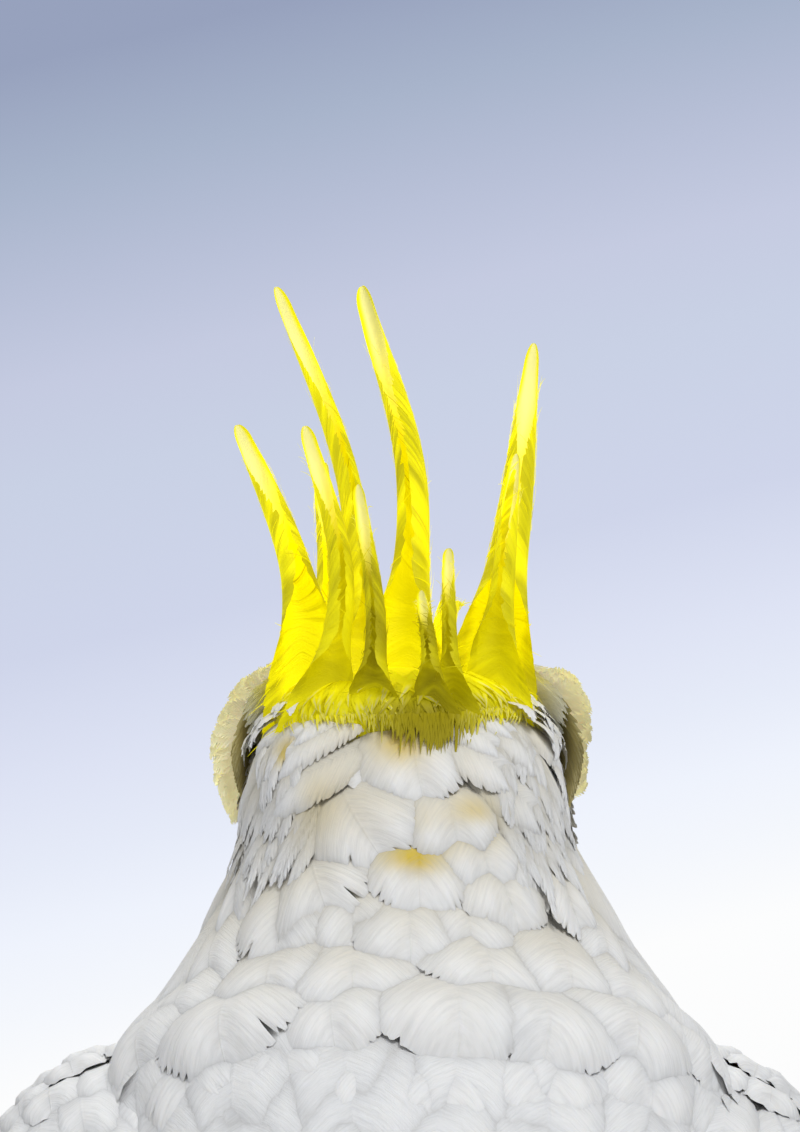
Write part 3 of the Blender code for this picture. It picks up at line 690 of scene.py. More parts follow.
class Nodes:
    """A node tree, with short ways to add and join nodes."""

    def __init__(self, tree):
        self.tree = tree

    def put(self, socket, value):
        """Joins an output to a socket, or sets the socket's own value."""
        if isinstance(value, bpy.types.NodeSocket):
            self.tree.links.new(value, socket)
        else:
            socket.default_value = value

    def node(self, kind, inputs=(), **settings):
        """A node of a kind, whose inputs are joined or set."""
        made = self.tree.nodes.new("ShaderNode" + kind)
        for key, value in settings.items():
            setattr(made, key, value)
        for key, value in dict(inputs).items():
            self.put(made.inputs[key], value)
        return made

    def maths(self, operation, *values):
        """A sum on one to three numbers."""
        return self.node("Math", enumerate(values), operation=operation).outputs[0]

    def times(self, *values):
        """One number times another."""
        return self.maths("MULTIPLY", *values)

    def mix(self, factor, low, high):
        """A colour between two others."""
        low, high = (value if isinstance(value, bpy.types.NodeSocket) else (*value[:3], 1.0)
                     for value in (low, high))
        return self.node("Mix", {0: factor, 6: low, 7: high}, data_type="RGBA").outputs[2]

    def step(self, *values):
        """From a value, low and high, and the results at them: the smooth step between these."""
        return self.node("MapRange", enumerate(values), interpolation_type="SMOOTHSTEP").outputs[0]

    def attribute(self, name, output=2):
        """What is stored on the vertices under a name."""
        return self.node("Attribute", attribute_name=name).outputs[output]

    def uv(self, name):
        """The place on a UV map."""
        return self.node("UVMap", uv_map=name).outputs[0]

    def split(self, vector):
        """The three parts of a vector."""
        return self.node("SeparateXYZ", {0: vector}).outputs

    def noise(self, vector, scale, detail=3.0, roughness=0.5):
        """Soft noise from 0 to 1."""
        inputs = {"Vector": vector, "Scale": scale, "Detail": detail, "Roughness": roughness}
        return self.node("TexNoise", inputs).outputs[0]

    def grain(self, place, stretch, detail, roughness):
        """Noise whose spots are drawn out by a different scale along each axis."""
        stretched = self.node("Mapping", {"Vector": place, "Scale": stretch}).outputs[0]
        return self.noise(stretched, 1.0, detail, roughness)

    def object_place(self):
        """The place on the object, in metres."""
        return self.node("TexCoord").outputs["Object"]


class Shader(Nodes):
    """A material of one principled surface."""

    def __init__(self, name, roughness, **sockets):
        self.material = bpy.data.materials.new(name)
        self.material.use_nodes = True
        super().__init__(self.material.node_tree)
        self.base = self.tree.nodes["Principled BSDF"].inputs
        self.base["Roughness"].default_value = roughness
        self.set(**sockets)

    def set(self, **sockets):
        """Joins or sets the surface's sockets, by their short names."""
        for socket, value in sockets.items():
            self.put(self.base[SOCKETS[socket]], value)

    def barbs(self, apart):
        """For a feather: how far along and how far to either side, its own number, and the place among
        the barbs, moved apart from feather to feather."""
        along, across, own = self.split(self.attribute("feather", 1))
        shift = {"X": self.times(own, 57.0 * apart), "Y": self.times(own, 31.0 * apart)}
        shift = self.node("CombineXYZ", shift).outputs[0]
        place = self.node("VectorMath", {0: self.uv("barb"), 1: shift}, operation="ADD").outputs[0]
        return along, self.maths("ABSOLUTE", across), own, place

    def finish(self, colour, height=None, distance=0.0):
        """Sets the surface's colour and how far its height is raised, and returns the material."""
        self.put(self.base["Base Color"], colour)
        if height is not None:
            raised = self.node("Bump", {"Height": height, "Distance": distance, "Strength": 1.0})
            self.put(self.base["Normal"], raised.outputs[0])
        return self.material


def toned(colour, share):
    """A colour made darker or lighter."""
    return [part * share for part in colour]


def feather_material(name, tip, root, edge, root_start=0.1, root_end=0.55, edge_share=0.0, streak=0.1,
                     bump=0.00012, spots=None, low_root=None, shade=0.6, **sockets):
    """Feather: root colour at the root turning to the tip's, partly the feather's own paler base and partly
    painted shade in the gaps under the feathers above, an edge colour towards both sides, fine streaks
    along the barbs, a raised shaft, and a small difference from feather to feather. With spots, painted
    shade under the neighbours' edges and golden markings."""
    made = Shader(name, 0.72, specular=0.25, **sockets)
    along, side, own, place = made.barbs(1)
    fine = made.grain(place, (2.6, 0.16, 1.0), 4.0, 0.65)
    broad = made.grain(place, (0.35, 0.08, 1.0), 2.0, 0.5)
    # The root colour, warmer on the neck and greyer below it by height, is partly the feathers' own paler
    # base and partly painted shade in the gaps under the feathers above.
    if low_root is not None:
        height = made.split(made.object_place())[2]
        root = made.mix(made.step(height, 0.245, 0.285), low_root, root)
    colour = made.mix(made.step(along, root_start, root_end), root, tip)
    if edge_share:
        colour = made.mix(made.times(made.step(side, 0.45, 0.95), edge_share), colour, edge)
    if spots is not None:
        # Painted shade: the colour darkens towards a dark root colour as far as each vertex lies under its
        # neighbours' edges; then the golden markings.
        dark = made.times(made.attribute("painted_shade"), shade)
        colour = made.mix(dark, colour, made.mix(0.3, root, (0, 0, 0)))
        colour = made.mix(made.attribute("gold"), colour, spots)
    colour = made.mix(made.times(made.step(fine, 0.62, 0.3), streak), colour, toned(tip, 0.45))
    colour = made.mix(made.step(own, 0.0, 1.0, 0.0, 0.06), colour, root)
    height = made.maths("ADD", fine, made.times(broad, 0.8))
    height = made.maths("ADD", height, made.times(made.step(side, 0.07, 0.0), 0.25))
    return made.finish(colour, height, bump)


def crest_material(name, crest, glow=0.5, base=0.0):
    """Crest feather: a pale hollow near the end, painted light for the lit inside of the roll, lemon vanes
    that turn olive towards their rolled edges as painted shade, and streaks along the barbs in two sizes.
    The feather's own number says how olive it is, painted shade for feathers that stand in shadow, and base
    how olive it turns low down, painted shade under the crest. A little light of its own, a painted glow
    that is less where it is olive, stands for what comes through the thin vane."""
    made = Shader(name, 0.6, specular=0.2)
    along, side, own, place = made.barbs(10)
    fine = made.grain(place, (2.6, 0.05, 1.0), 5.0, 0.7)
    broad = made.grain(place, (0.22, 0.03, 1.0), 3.0, 0.6)
    # Painted light: near the end the inside of the roll turns pale, as if lit.
    hollow = made.times(made.step(side, 0.75, 0.3), made.step(along, 0.55, 0.85))
    colour = made.mix(hollow, crest.lemon, crest.tip)
    # Painted shade: each feather turns as olive as its own number says, most for the rear ones that stand in
    # shadow.
    shade = made.times(own, made.step(along, 1.0, 0.45, 0.15, 1.0))
    shade = made.times(shade, made.step(broad, 0.3, 0.6, 0.55, 1.0))
    # Painted shade: the rolled edges turn olive, as if in shadow.
    edge = made.times(made.step(side, 0.35, 0.8), made.step(along, 1.0, 0.35, 0.15, 0.75))
    edge = made.times(edge, made.step(broad, 0.35, 0.6, 0.2, 0.85))
    shade = made.maths("MAXIMUM", shade, edge)
    calm = made.step(along, 0.7, 0.4)
    fine = made.maths("MULTIPLY_ADD", made.maths("SUBTRACT", fine, 0.55), calm, 0.55)
    lines = made.grain(place, (1.0, 0.02, 1.0), 4.0, 0.65)
    streaks = made.maths("MAXIMUM", made.times(made.step(fine, 0.47, 0.34), 0.55),
                         made.times(made.step(lines, 0.46, 0.36), 0.7))
    streaks = made.times(streaks, made.step(along, 1.0, 0.55, 0.1, 1.0))
    streaks = made.times(streaks, made.step(along, 0.15, 0.5, 0.35, 1.0))
    shade = made.maths("MAXIMUM", shade, streaks)
    shade = made.times(shade, made.step(along, 0.85, 0.5, 0.1, 1.0))
    # Painted shade: low down under the crest the feathers turn olive, as base says, more where their own
    # number is high.
    height = made.split(made.object_place())[2]
    low = made.times(made.step(height, 0.329, 0.317, 0.0, base), made.step(own, 0.0, 0.9, 0.2, 1.0))
    if base:
        shade = made.times(shade, 0.35)
    shade = made.maths("MAXIMUM", shade, low)
    colour = made.mix(shade, colour, crest.olive)
    # Painted glow: light of its own, less where it is olive, stands for the light that comes through the thin
    # vane.
    made.set(glow=made.mix(made.times(shade, 0.7), colour, (0, 0, 0)),
             glow_strength=made.step(along, 0.6, 0.95, glow, glow * 0.2))
    height = made.times(made.maths("ADD", fine, made.times(broad, 1.5)), calm)
    return made.finish(colour, height, 0.0003)


def skin_material(name, colour, under, scale=900.0, bump=0.0003, **sockets):
    """Skin: two tones in soft blotches, and fine pores raised with a cell pattern."""
    made = Shader(name, 0.6, specular=0.35, **sockets)
    place = made.object_place()
    tone = made.step(made.noise(place, 60.0, 4.0), 0.35, 0.65)
    cells = made.node("TexVoronoi", {"Vector": place, "Scale": scale}).outputs[0]
    return made.finish(made.mix(tone, colour, under), cells, bump)


def horn_material(name, dark, dust, scale, groove, roughness=0.42):
    """Horn: dark and lightly polished, with powdery patches, and growth lines along the piece."""
    made = Shader(name, roughness, specular=0.5, coat=0.12, coat_rough=0.4)
    place = made.object_place()
    powder = made.noise(place, scale, 5.0, 0.6)
    lines = made.grain(place, groove, 4.0, 0.55)
    colour = made.mix(made.step(powder, 0.45, 0.72, 0.0, 0.55), dark, dust)
    colour = made.mix(made.step(lines, 0.55, 0.75, 0.0, 0.25), colour, dust)
    return made.finish(colour, made.maths("ADD", lines, made.times(powder, 0.4)), 0.0003)


def scale_material(foot):
    """Leg skin: grey scales in two tones, with paler skin in the grooves between them."""
    made = Shader("leg_skin", 0.58, specular=0.35)
    place = made.object_place()
    tone = made.noise(place, 180.0, 4.0)
    inputs = {"Vector": place, "Scale": 750.0}
    cells = made.node("TexVoronoi", inputs, feature="DISTANCE_TO_EDGE").outputs[0]
    shade = made.mix(made.step(tone, 0.4, 0.7, 0.0, 0.6), foot.grey, toned(foot.grey, 1.9))
    shade = made.mix(made.step(cells, 0.06, 0.0, 0.0, 0.45), shade, foot.gap)
    return made.finish(shade, cells, 0.0002)


def eye_material(head):
    """Eye: a black pupil, a fibrous iris and a dark rim, as rings about the middle of its gaze."""
    made = Shader("eye", 0.06, specular=0.6, coat=1.0, coat_rough=0.02)
    gaze = made.attribute("gaze")
    fibres = made.grain(made.uv("globe"), (60.0, 3.0, 1.0), 3.0, 0.5)
    iris = made.mix(fibres, toned(head.iris, 0.45), toned(head.iris, 1.7))
    tone = made.mix(made.step(gaze, 0.40, 0.44), (0.002, 0.002, 0.002), iris)
    return made.finish(made.mix(made.step(gaze, 0.80, 0.86), tone, (0.02, 0.012, 0.01)))


# ---------------------------------------------------------------- surfaces of the smaller parts

# Rings down the thigh and the shank of the left leg: x, y, z, radius.
THIGH = np.array([
    (31, 12, 140, 8), (30, 13.5, 127, 18.5), (29, 15.5, 109, 23), (27.5, 19, 88, 20), (26.5, 21, 68, 14.5),
    (25.8, 21, 52, 10), (25.4, 20, 44, 7.2),
])
SHANK = np.array([
    (25.4, 20.5, 50, 4.2), (25.2, 19, 37, 5.1), (25.1, 15, 27, 4.4), (25, 10, 17, 4.8), (25, 6.5, 8.5, 6),
    (25, 6, 4.2, 5.4),
])
# The middle of the left foot.
FOOT_X, FOOT_Y = 25.0, 6.0
# Each toe: heading from straight ahead towards the bird's outer side, length, thickness, sideways and
# forward place of its root, and length of its claw.
TOES = {
    "front_inner": (-14, 27, 3.9, -4.6, 7, 12.5), "front_outer": (13, 37, 4.2, 4.8, 7, 14),
    "rear_outer": (152, 32, 4, 5.4, -6.2, 13), "rear_inner": (196, 18, 3.6, -4.6, -6.6, 11),
}
# Along a toe: share of its length, and radius as a share of its thickness.
TOE_PADS = (
    (0, 1.06), (0.14, 1), (0.3, 0.9), (0.46, 1.03), (0.62, 0.88), (0.78, 1.02), (0.9, 0.92), (1, 0.6),
)
# How far a toe starts inside the foot.
TOE_SUNK = 3.5
# Along a claw: share of its length, height as a share of it, and radius as a share of the toe's thickness.
NAIL = (
    (-0.12, 0, 0.6), (0, 0.02, 0.62), (0.3, 0.1, 0.52), (0.6, 0.07, 0.38), (0.85, -0.04, 0.22),
    (1, -0.2, 0.06),
)
# Where the toes meet: y behind the foot's middle, z, radius.
HUB = ((-6.5, 4.6, 3), (-3, 4.9, 5.4), (3, 4.9, 5.4), (6.5, 4.6, 3))
# Rings along each half of the bill: y, z, half height, half width.
UPPER_BILL = np.array([
    (-70, 284, 11.5, 10), (-80, 287, 13, 10.9), (-90, 289.2, 13.4, 11), (-100.5, 288, 12, 9.6),
    (-109.5, 282, 9.2, 7.2), (-114, 273.5, 6, 4.6), (-114.5, 266.5, 3.2, 2.4), (-112.5, 260.5, 0.8, 0.7),
])
LOWER_BILL = np.array([
    (-76, 266, 7, 9), (-87, 267, 7.6, 9.2), (-97, 268.5, 6.6, 7.8), (-104, 272, 3.2, 5),
])
# The mound under the crest.
PAD_MIDDLE, PAD_RADII = np.array([4.0, -50.0, 316.0]), np.array([27.5, 27.0, 13.0])
# Rings along the tongue: x, y, z, radius.
TONGUE = np.array([
    (HEAD_X, -74, 271, 5), (HEAD_X, -84, 273, 5.6), (HEAD_X, -93, 275, 4.6), (HEAD_X, -98, 277, 3.2),
    (HEAD_X, -99.5, 278, 1.2),
])
# Golden spots of the plumage: x, y, z, reach, strength.
GOLD_SPOTS = ((4.1, -20, 315, 5.5, 0.95), (3.5, -15, 312, 4, 0.6))
# Places where the golden roots show between the feathers.
GOLD_GAPS = (
    (1.5, -8, 289.5, 6, 1), (-12, -10, 298, 5, 0.8), (28, -26, 310, 4, 0.9), (-20, 8, 248, 6, 0.6),
    (22, -15, 300, 6, 0.35), (-30, -32, 314, 4, 0.8),
)


# The brown inside of the fans, painted shade for the shadow within their roll.
KHAKI = (0.50, 0.42, 0.17)
# The sky behind the bird, from low at the left to high at the right: place and colour.
SKY_TONES = (
    (0.0, (0.98, 0.98, 0.98)), (0.13, (0.975, 0.98, 0.985)), (0.2, (0.905, 0.93, 0.98)),
    (0.26, (0.86, 0.895, 0.98)), (0.32, (0.79, 0.83, 0.94)), (0.39, (0.73, 0.768, 0.905)),
    (0.5, (0.623, 0.665, 0.823)), (0.64, (0.584, 0.637, 0.783)), (0.725, (0.558, 0.597, 0.753)),
    (0.81, (0.479, 0.527, 0.68)), (0.9, (0.392, 0.456, 0.597)), (1.0, (0.31, 0.36, 0.51)),
)
# Soft round lamps: place, size and share of the key light's power. All of them look at LIT.
LAMPS = (
    ("key", (-0.45, 0.65, 1.55), 0.8, 1.25), ("fill", (1.1, 0.6, 0.6), 1.0, 0.25),
    ("rim", (0.2, -1.2, 1.0), 0.9, 0.5),
)
LIT = (0.0, -0.09, 0.28)


def pad(a, b):
    """The mound under the crest: an ellipsoid from its top at a = 0 to its foot at 1, with b the angle
    round it from the back towards the bird's left."""
    down = np.asarray(a) * math.pi * 0.7
    out = np.stack([np.sin(down) * np.sin(b), np.sin(down) * np.cos(b), np.cos(down) + 0 * b], -1)
    return PAD_MIDDLE + out * PAD_RADII


def tube(table, mirror=1.0):
    """A round tube along a smooth path of x, y, z and radius: b is the angle round it."""

    def surface(a, b):
        row, along = rows(table, a), unit(slope(table, a)[..., :3])
        back, b = unit(np.cross(X_AXIS, along)), np.asarray(b)[..., None]
        side = np.cross(along, back)
        point = row[..., :3] + np.maximum(row[..., 3:4], 0.02) * (np.sin(b) * side + np.cos(b) * back)
        return point * np.array([mirror, 1.0, 1.0])

    return surface


def shell(surface, a, b, inwards=0.0, sign=1.0):
    """Points of a surface on a grid of a and b, moved inwards along its normal."""
    grid_a, grid_b = np.meshgrid(a, b, indexing="ij")
    by_a, by_b = steps(surface, grid_a, grid_b)
    return surface(grid_a, grid_b) - unit(np.cross(by_b, by_a)) * sign * inwards


# ---------------------------------------------------------------- settings


def colour(name, description, default):
    """A colour setting."""
    return FloatVectorProperty(name=name, description=description, default=default, size=3,
                               subtype="COLOR", min=0.0, max=1.0)


def number(name, description, default, unit="NONE"):
    """A setting of one number."""
    return FloatProperty(name=name, description=description, default=default, unit=unit)


class PlumageSettings(PropertyGroup):
    """Sizes and colours of the white plumage."""

    depth: number("Coat depth", "How far the skin lies under the feathers", 0.0034, "LENGTH")
    seed: IntProperty(name="Seed", description="Which random coat is laid", default=7)
    white: colour("White", "Colour of a feather's end", (0.90, 0.90, 0.895))
    # Root and lower root are partly the feathers' own paler bases and partly painted shade in the gaps
    # between them.
    root: colour("Root", "Colour of a feather near its root", (0.80, 0.755, 0.64))
    low_root: colour("Lower root", "Colour of a feather near its root below the neck", (0.85, 0.85, 0.845))
    gold: colour("Gold", "Colour of the golden spots on the nape", (0.66, 0.47, 0.015))
    under: colour("Skin", "Colour of the skin under the feathers", (0.60, 0.55, 0.45))


class CrestSettings(PropertyGroup):
    """Colours of the crest and of the fans behind the cheeks."""

    lemon: colour("Lemon", "Colour of the inside of a crest feather", (0.98, 0.90, 0.0))
    # Tip is the pale that the hollow near each end turns, painted light for the lit inside of the roll.
    tip: colour("Tip", "Colour of the ends of the crest feathers", (0.86, 0.82, 0.30))
    # Olive is the colour of the painted shade on the crest, on rolled edges, feathers in shadow and low down;
    # the streaks take it too.
    olive: colour("Olive", "Colour of the rolled edges of a crest feather", (0.30, 0.25, 0.0))
    cream: colour("Cream", "Colour of the fans behind the cheeks", (0.80, 0.76, 0.46))


class HeadSettings(PropertyGroup):
    """Colours of the bill, the eyes and the skin round them."""

    bill: colour("Bill", "Colour of clean bill horn", (0.016, 0.016, 0.018))
    powder: colour("Powder", "Colour of the feather powder on the bill", (0.13, 0.13, 0.135))
    iris: colour("Iris", "Colour of the iris", (0.035, 0.014, 0.006))
    ring: colour("Eye ring", "Colour of the bare skin round the eye", (0.62, 0.64, 0.68))


class FootSettings(PropertyGroup):
    """Sizes and colours of the legs and feet."""

    scale_length: number("Scale length", "Length of one scale along a toe", 0.0026, "LENGTH")
    grey: colour("Leg grey", "Colour of the scales", (0.085, 0.083, 0.09))
    gap: colour("Between scales", "Colour of the skin between the scales", (0.25, 0.235, 0.235))
    claw: colour("Claw", "Colour of the claws", (0.02, 0.019, 0.02))


class StageSettings(PropertyGroup):
    """The camera and the light."""

    distance: number("Camera distance", "From the camera to the head", 1.345, "LENGTH")
    lens: number("Lens", "Focal length in millimetres", 208.7)
    key: number("Key light", "Power of the large soft light", 11.5)
    sky: number("Sky light", "Strength of the even light", 0.34)


class CockatooSettings(PropertyGroup):
    """All the settings of the bird."""

    plumage: PointerProperty(type=PlumageSettings)
    crest: PointerProperty(type=CrestSettings)
    head: PointerProperty(type=HeadSettings)
    foot: PointerProperty(type=FootSettings)
    stage: PointerProperty(type=StageSettings)


# ---------------------------------------------------------------- pieces


def material_once(name, make):
    """The material of that name, made when it is first asked for."""
    return bpy.data.materials.get(name) or make()


def white_feathers(plumage):
    """The white feather's material."""
    # The root colour reaches far up each feather, so that it paints shade just below the edge of the feather
    # above.
    look = dict(spots=plumage.gold, root_start=0.35, root_end=0.92, streak=0.2, bump=0.0002, shade=0.5,
                low_root=plumage.low_root, soft=0.2, soft_scale=0.003, soft_reach=(1.0, 0.85, 0.65))
    return material_once("white_plumage", lambda: feather_material(
        "white_plumage", plumage.white, plumage.root, plumage.white, **look))


def grown(surface, sign, a, b, length, half, heading, settings):
    """A batch of feathers from their roots, lengths, half widths and headings."""
    return lay(surface, sign, (a, b), towards(surface, a, b, length, heading), half, **settings)


def coat(name, parts, material, loose=0, shade=1.0):
    """Feathers in parts, each of them what grown takes. The last few may stand loose of the rest and get
    no painted shade; on each surface the others get painted shade under one another's edges, times shade."""
    batches = [grown(*part) for part in parts]
    painted_shade = [0 * batch[1]["along"].ravel() for batch in batches]
    close = range(len(parts) - loose)
    for surface in {part[0] for part in parts}:
        same = [index for index in close if parts[index][0] is surface]
        for index, value in zip(same, under_edge_shade(surface, [batches[index] for index in same])):
            painted_shade[index] = value * shade
    return feather_object(name, batches, material, "white_feather", painted_shade=painted_shade)


class COCKATOO_OT_skin(Operator):
    """One closed skin under the feathers: body and thighs"""

    bl_idname = "cockatoo.skin"
    bl_label = "Skin"

    def execute(self, context):
        plumage = context.scene.cockatoo.plumage
        depth, turn = plumage.depth / MM, around(72)
        grids = [shell(body, np.linspace(0.03, 0.98, 80), turn, depth)]
        for sign in SIDES.values():
            grids.append(shell(tube(THIGH, sign), np.linspace(0.02, 0.98, 30), turn[::2], depth * sign))
        bare = skin_material("bare_skin", plumage.under, plumage.root, soft=0.1, soft_scale=0.002)
        nodes = ("head", "neck", "trunk", "thigh_left", "thigh_right")
        remesh(tube_object("skin", grids, bare, "white_feather", *nodes), voxel=1.6, rounds=3)
        return {"FINISHED"}


class COCKATOO_OT_nape(Operator):
    """The feathers of the nape and the upper back, fanned out under the crest"""

    bl_idname = "cockatoo.nape"
    bl_label = "Nape and mantle feathers"

    def execute(self, context):
        plumage = context.scene.cockatoo.plumage
        rng = np.random.default_rng(plumage.seed)
        white = white_feathers(plumage)
        fine = dict(lines=80, columns=13, rng=rng, splits=0.006, teeth=0.4, fray=0.08, notch=0.5)
        root_x, root_z, tip_x, tip_z, half, puff = NAPE_FEATHERS.T
        lean = (tip_x - root_x) / (root_z - tip_z)
        fan = smooth(0.25, 0.7, np.abs(lean)) * (tip_z > 290) * (half < 7)
        over = 0.7 + 0.4 * rng.uniform(-1, 1, len(half)) * (half > 7) + 0.35 * fan
        nape = [lay(
            body, 1.0, on_back(root_x, np.minimum(root_z, 320.5)), on_back(tip_x, tip_z), half * 1.06,
            over=over, rise=1.35, camber=0.11, rim=1.15, bulge=0.05, roll=0.03, sweep=1.3, widest=0.52,
            tip=2.2, puff=1.5 * puff, tilt=-0.17 * fan * np.sign(lean), **fine,
        )]
        for sign, middle in ((1.0, 4.0), (-1.0, 3.0)):
            x, z = rng.uniform(13, 25, 46), rng.uniform(299, 320, 46)
            x = x + 0.15 * (320 - z)
            step = rng.uniform(0.12, 0.40, 46) * (z > 300) + 0.12
            fall = rng.uniform(16, 24, 46)
            farthest = np.minimum(x + fall * step, 30 + 0.34 * (320 - z))
            nape.append(lay(
                body, 1.0, on_back(middle + sign * x, z), on_back(middle + sign * farthest, z - fall),
                rng.uniform(1.5, 2.5, 46), lines=48, columns=7, rng=rng, over=rng.uniform(0.9, 1.7, 46),
                rise=1.2, rim=0.4, camber=0.1, roll=0.1, sweep=3.2, widest=0.45, tip=1.6, teeth=0.3,
                fray=0.08, puff=0.6, depth=2.0,
            ))
        a, b = scatter(body, (0.09, 0.26), (-BACK, BACK), 6.5, 10.0, rng, 0.2)
        heading = 0.7 * np.tanh(b * 2.5) + rng.normal(0, 0.06, len(a))
        low = dict(lines=16, columns=7, rng=rng, teeth=0.5, notch=1.0, rim=0.4, rise=1.4,
                   over=-0.5 + 0.4 * smooth(1.0, 1.3, np.abs(b)))
        under = (body, 1.0, a, b, 22.0, 7.0, heading, low)
        a, b = scatter(body, (0.26, 0.66), (-BACK, BACK), 8.2, lambda a: 14.5 + 4.0 * smooth(0.3, 0.5, a),
                       rng, 0.16)
        length = (31.0 + 5.0 * smooth(0.3, 0.5, a)) * rng.uniform(0.92, 1.1, len(a))
        half = (13.0 + 3.0 * smooth(0.25, 0.42, a)) * rng.uniform(0.92, 1.1, len(a))
        half = half * (1 - 0.42 * smooth(0.7, 1.4, np.abs(b)) * smooth(0.5, 0.3, a))
        heading = 0.42 * np.tanh(b * 2.5) * smooth(0.46, 0.25, a) + rng.normal(0, 0.06, len(a))
        hidden = smooth(1.15, 0.85, np.abs(b)) * smooth(0.42, 0.36, a)
        top = dict(fine, columns=9, lines=56, over=rng.uniform(0.1, 1.0, len(a)) - 0.9 * hidden,
                   camber=0.09, rise=1.25, rim=1.15, puff=1.5 * (1 - hidden))
        mantle = [grown(*under), grown(body, 1.0, a, b, length, half, heading, top)]
        painted_shade = under_edge_shade(body, nape + mantle)
        feather_object("coat_nape", nape, white, "white_feather", painted_shade=painted_shade[:3])
        feather_object("coat_mantle", mantle, white, "white_feather", painted_shade=painted_shade[3:])
        return {"FINISHED"}


class COCKATOO_OT_body(Operator):
    """The feathers of the breast, the sides, the belly, the rump and the thighs"""

    bl_idname = "cockatoo.body"
    bl_label = "Body feathers"

    def execute(self, context):
        plumage = context.scene.cockatoo.plumage
        rng = np.random.default_rng(plumage.seed + 1)
        white = white_feathers(plumage)
        rest = dict(lines=18, columns=7, rng=rng, teeth=0.3, notch=0.7, camber=0.12, rim=0.45, rise=1.2,
                    over=0.2, puff=0.4, sweep=1.3)
        a, b = scatter(body, (0.31, 0.97), (BACK - 0.1, TAU - BACK + 0.1), 8.0, 11.5, rng)
        size = (0.55 + 0.45 * smooth(0.32, 0.5, a)) * rng.uniform(0.8, 1.2, len(a))
        half = 9.0 * size * rng.uniform(0.9, 1.1, len(a))
        parts = [(body, 1.0, a, b, 29.0 * size, half, 0.0, dict(rest, over=rng.uniform(-0.2, 0.6, len(a))))]
        for sign in SIDES.values():
            a, b = scatter(body, (0.42, 0.82), (1.45, 2.12), 8.0, 10.0, rng)
            outer = smooth(2.15, 1.6, b)
            flank = dict(rest, lift=8.0 * outer * smooth(0.40, 0.55, a), over=0.3 + 0.8 * outer)
            parts.append((body, 1.0, a, sign * b, 30.0 + 6.0 * outer, 9.0, -sign * 0.5 * outer, flank))
        coat("coat_breast", parts, white)
        a, b = scatter(body, (0.62, 0.97), (-BACK, BACK), 7.0, 10.0, rng)
        length, half = 32.0 * rng.uniform(0.85, 1.15, len(a)), 8.5 * rng.uniform(0.85, 1.15, len(a))
        rest.update(rim=0.15, puff=0.9, over=rng.uniform(-0.3, 0.7, len(a)), rise=1.0)
        coat("coat_rump", [(body, 1.0, a, b, length, half, rng.normal(0, 0.1, len(a)), rest)], white)
        parts = []
        for sign in SIDES.values():
            surface = tube(THIGH, sign)
            a, b = scatter(surface, (0.03, 0.93), (0, TAU), 4.4, 5.6, rng)
            length = (17.0 - 7.0 * a) * rng.uniform(0.8, 1.15, len(a))
            half = (4.6 - 2.4 * a) * rng.uniform(0.85, 1.15, len(a))
            rest = dict(lines=10, columns=5, rng=rng, depth=2.0, teeth=0.25, sweep=2.0, tip=1.7, rim=0.2,
                        over=rng.uniform(-0.2, 0.3, len(a)), puff=0.4)
            parts.append((surface, sign, a, b, length, half, 0.0, rest))
        coat("coat_thighs", parts, white)
        return {"FINISHED"}


class COCKATOO_OT_face(Operator):
    """The small close feathers of the face, the cheeks and the throat"""

    bl_idname = "cockatoo.face"
    bl_label = "Face feathers"

    def execute(self, context):
        plumage = context.scene.cockatoo.plumage
        rng = np.random.default_rng(plumage.seed + 2)

        def apart(start, more):
            return lambda a: start + more * smooth(0.22, 0.45, a)

        a, b = scatter(body, (0.06, 0.46), (BACK - 0.25, TAU - BACK + 0.25), apart(1.9, 2.8),
                       apart(1.9, 3.6), rng)
        clear = np.min([away(body(a, b), middle) - radius for middle, radius in BARE], axis=0)
        keep = (clear > 0) & (rng.random(len(a)) > 0.75 * smooth(0.33, 0.46, a))
        a, b, clear = a[keep], b[keep], clear[keep]
        eye = np.min([away(body(a, b), middle) for middle, _ in BARE[:2]], axis=0)
        back = smooth(0.0, 0.35, np.abs(b - math.pi)) + 0.3 * smooth(0.35, 0.8, np.abs(b - math.pi))
        heading = np.where(b < math.pi, -1.0, 1.0) * 0.85 * back * (1 - smooth(0.34, 0.46, a))
        heading = heading + rng.normal(0, 0.10, len(a))
        grow = smooth(0.19, 0.47, a) * smooth(0.0, 16.0, clear)
        length = (6.0 + 14.0 * grow) * rng.uniform(0.75, 1.15, len(a))
        half = (1.1 + 4.6 * grow) * rng.uniform(0.85, 1.15, len(a))
        over = 0.3 - 1.2 * smooth(0.33, 0.46, a) + 3.2 * np.exp(-(((eye - 9.0) / 7.0) ** 2))
        close = dict(lines=9, columns=5, rng=rng, depth=0.8 + 1.6 * grow, teeth=0.12, fray=0.06,
                     widest=0.45, over=over, end=0.0, rise=1.3, sweep=1.8, tip=1.7, puff=0.4 * grow, rim=0.2)
        close = (body, 1.0, a, b, length, half, heading, close)
        count = 84
        sides, share = np.repeat([1.0, -1.0], count // 2), np.tile(np.linspace(0, 1, count // 2), 2)
        down = (body, 1.0, 0.07 + 0.07 * rng.random(count), sides * (1.12 + 0.85 * share),
                rng.uniform(10, 14, count), rng.uniform(1.8, 2.8, count),
                sides * rng.normal(0.1, 0.35, count), dict(
                    lines=22, columns=7, rng=rng, depth=0.8, teeth=0.3, notch=0.6, over=1.0, puff=1.5,
                    lift=rng.uniform(0.3, 2.0, count), fray=0.1, sweep=3.0, tip=1.7, widest=0.5, roll=0.08))
        coat("coat_face", [close, down], white_feathers(plumage), loose=1, shade=0.45)
        return {"FINISHED"}


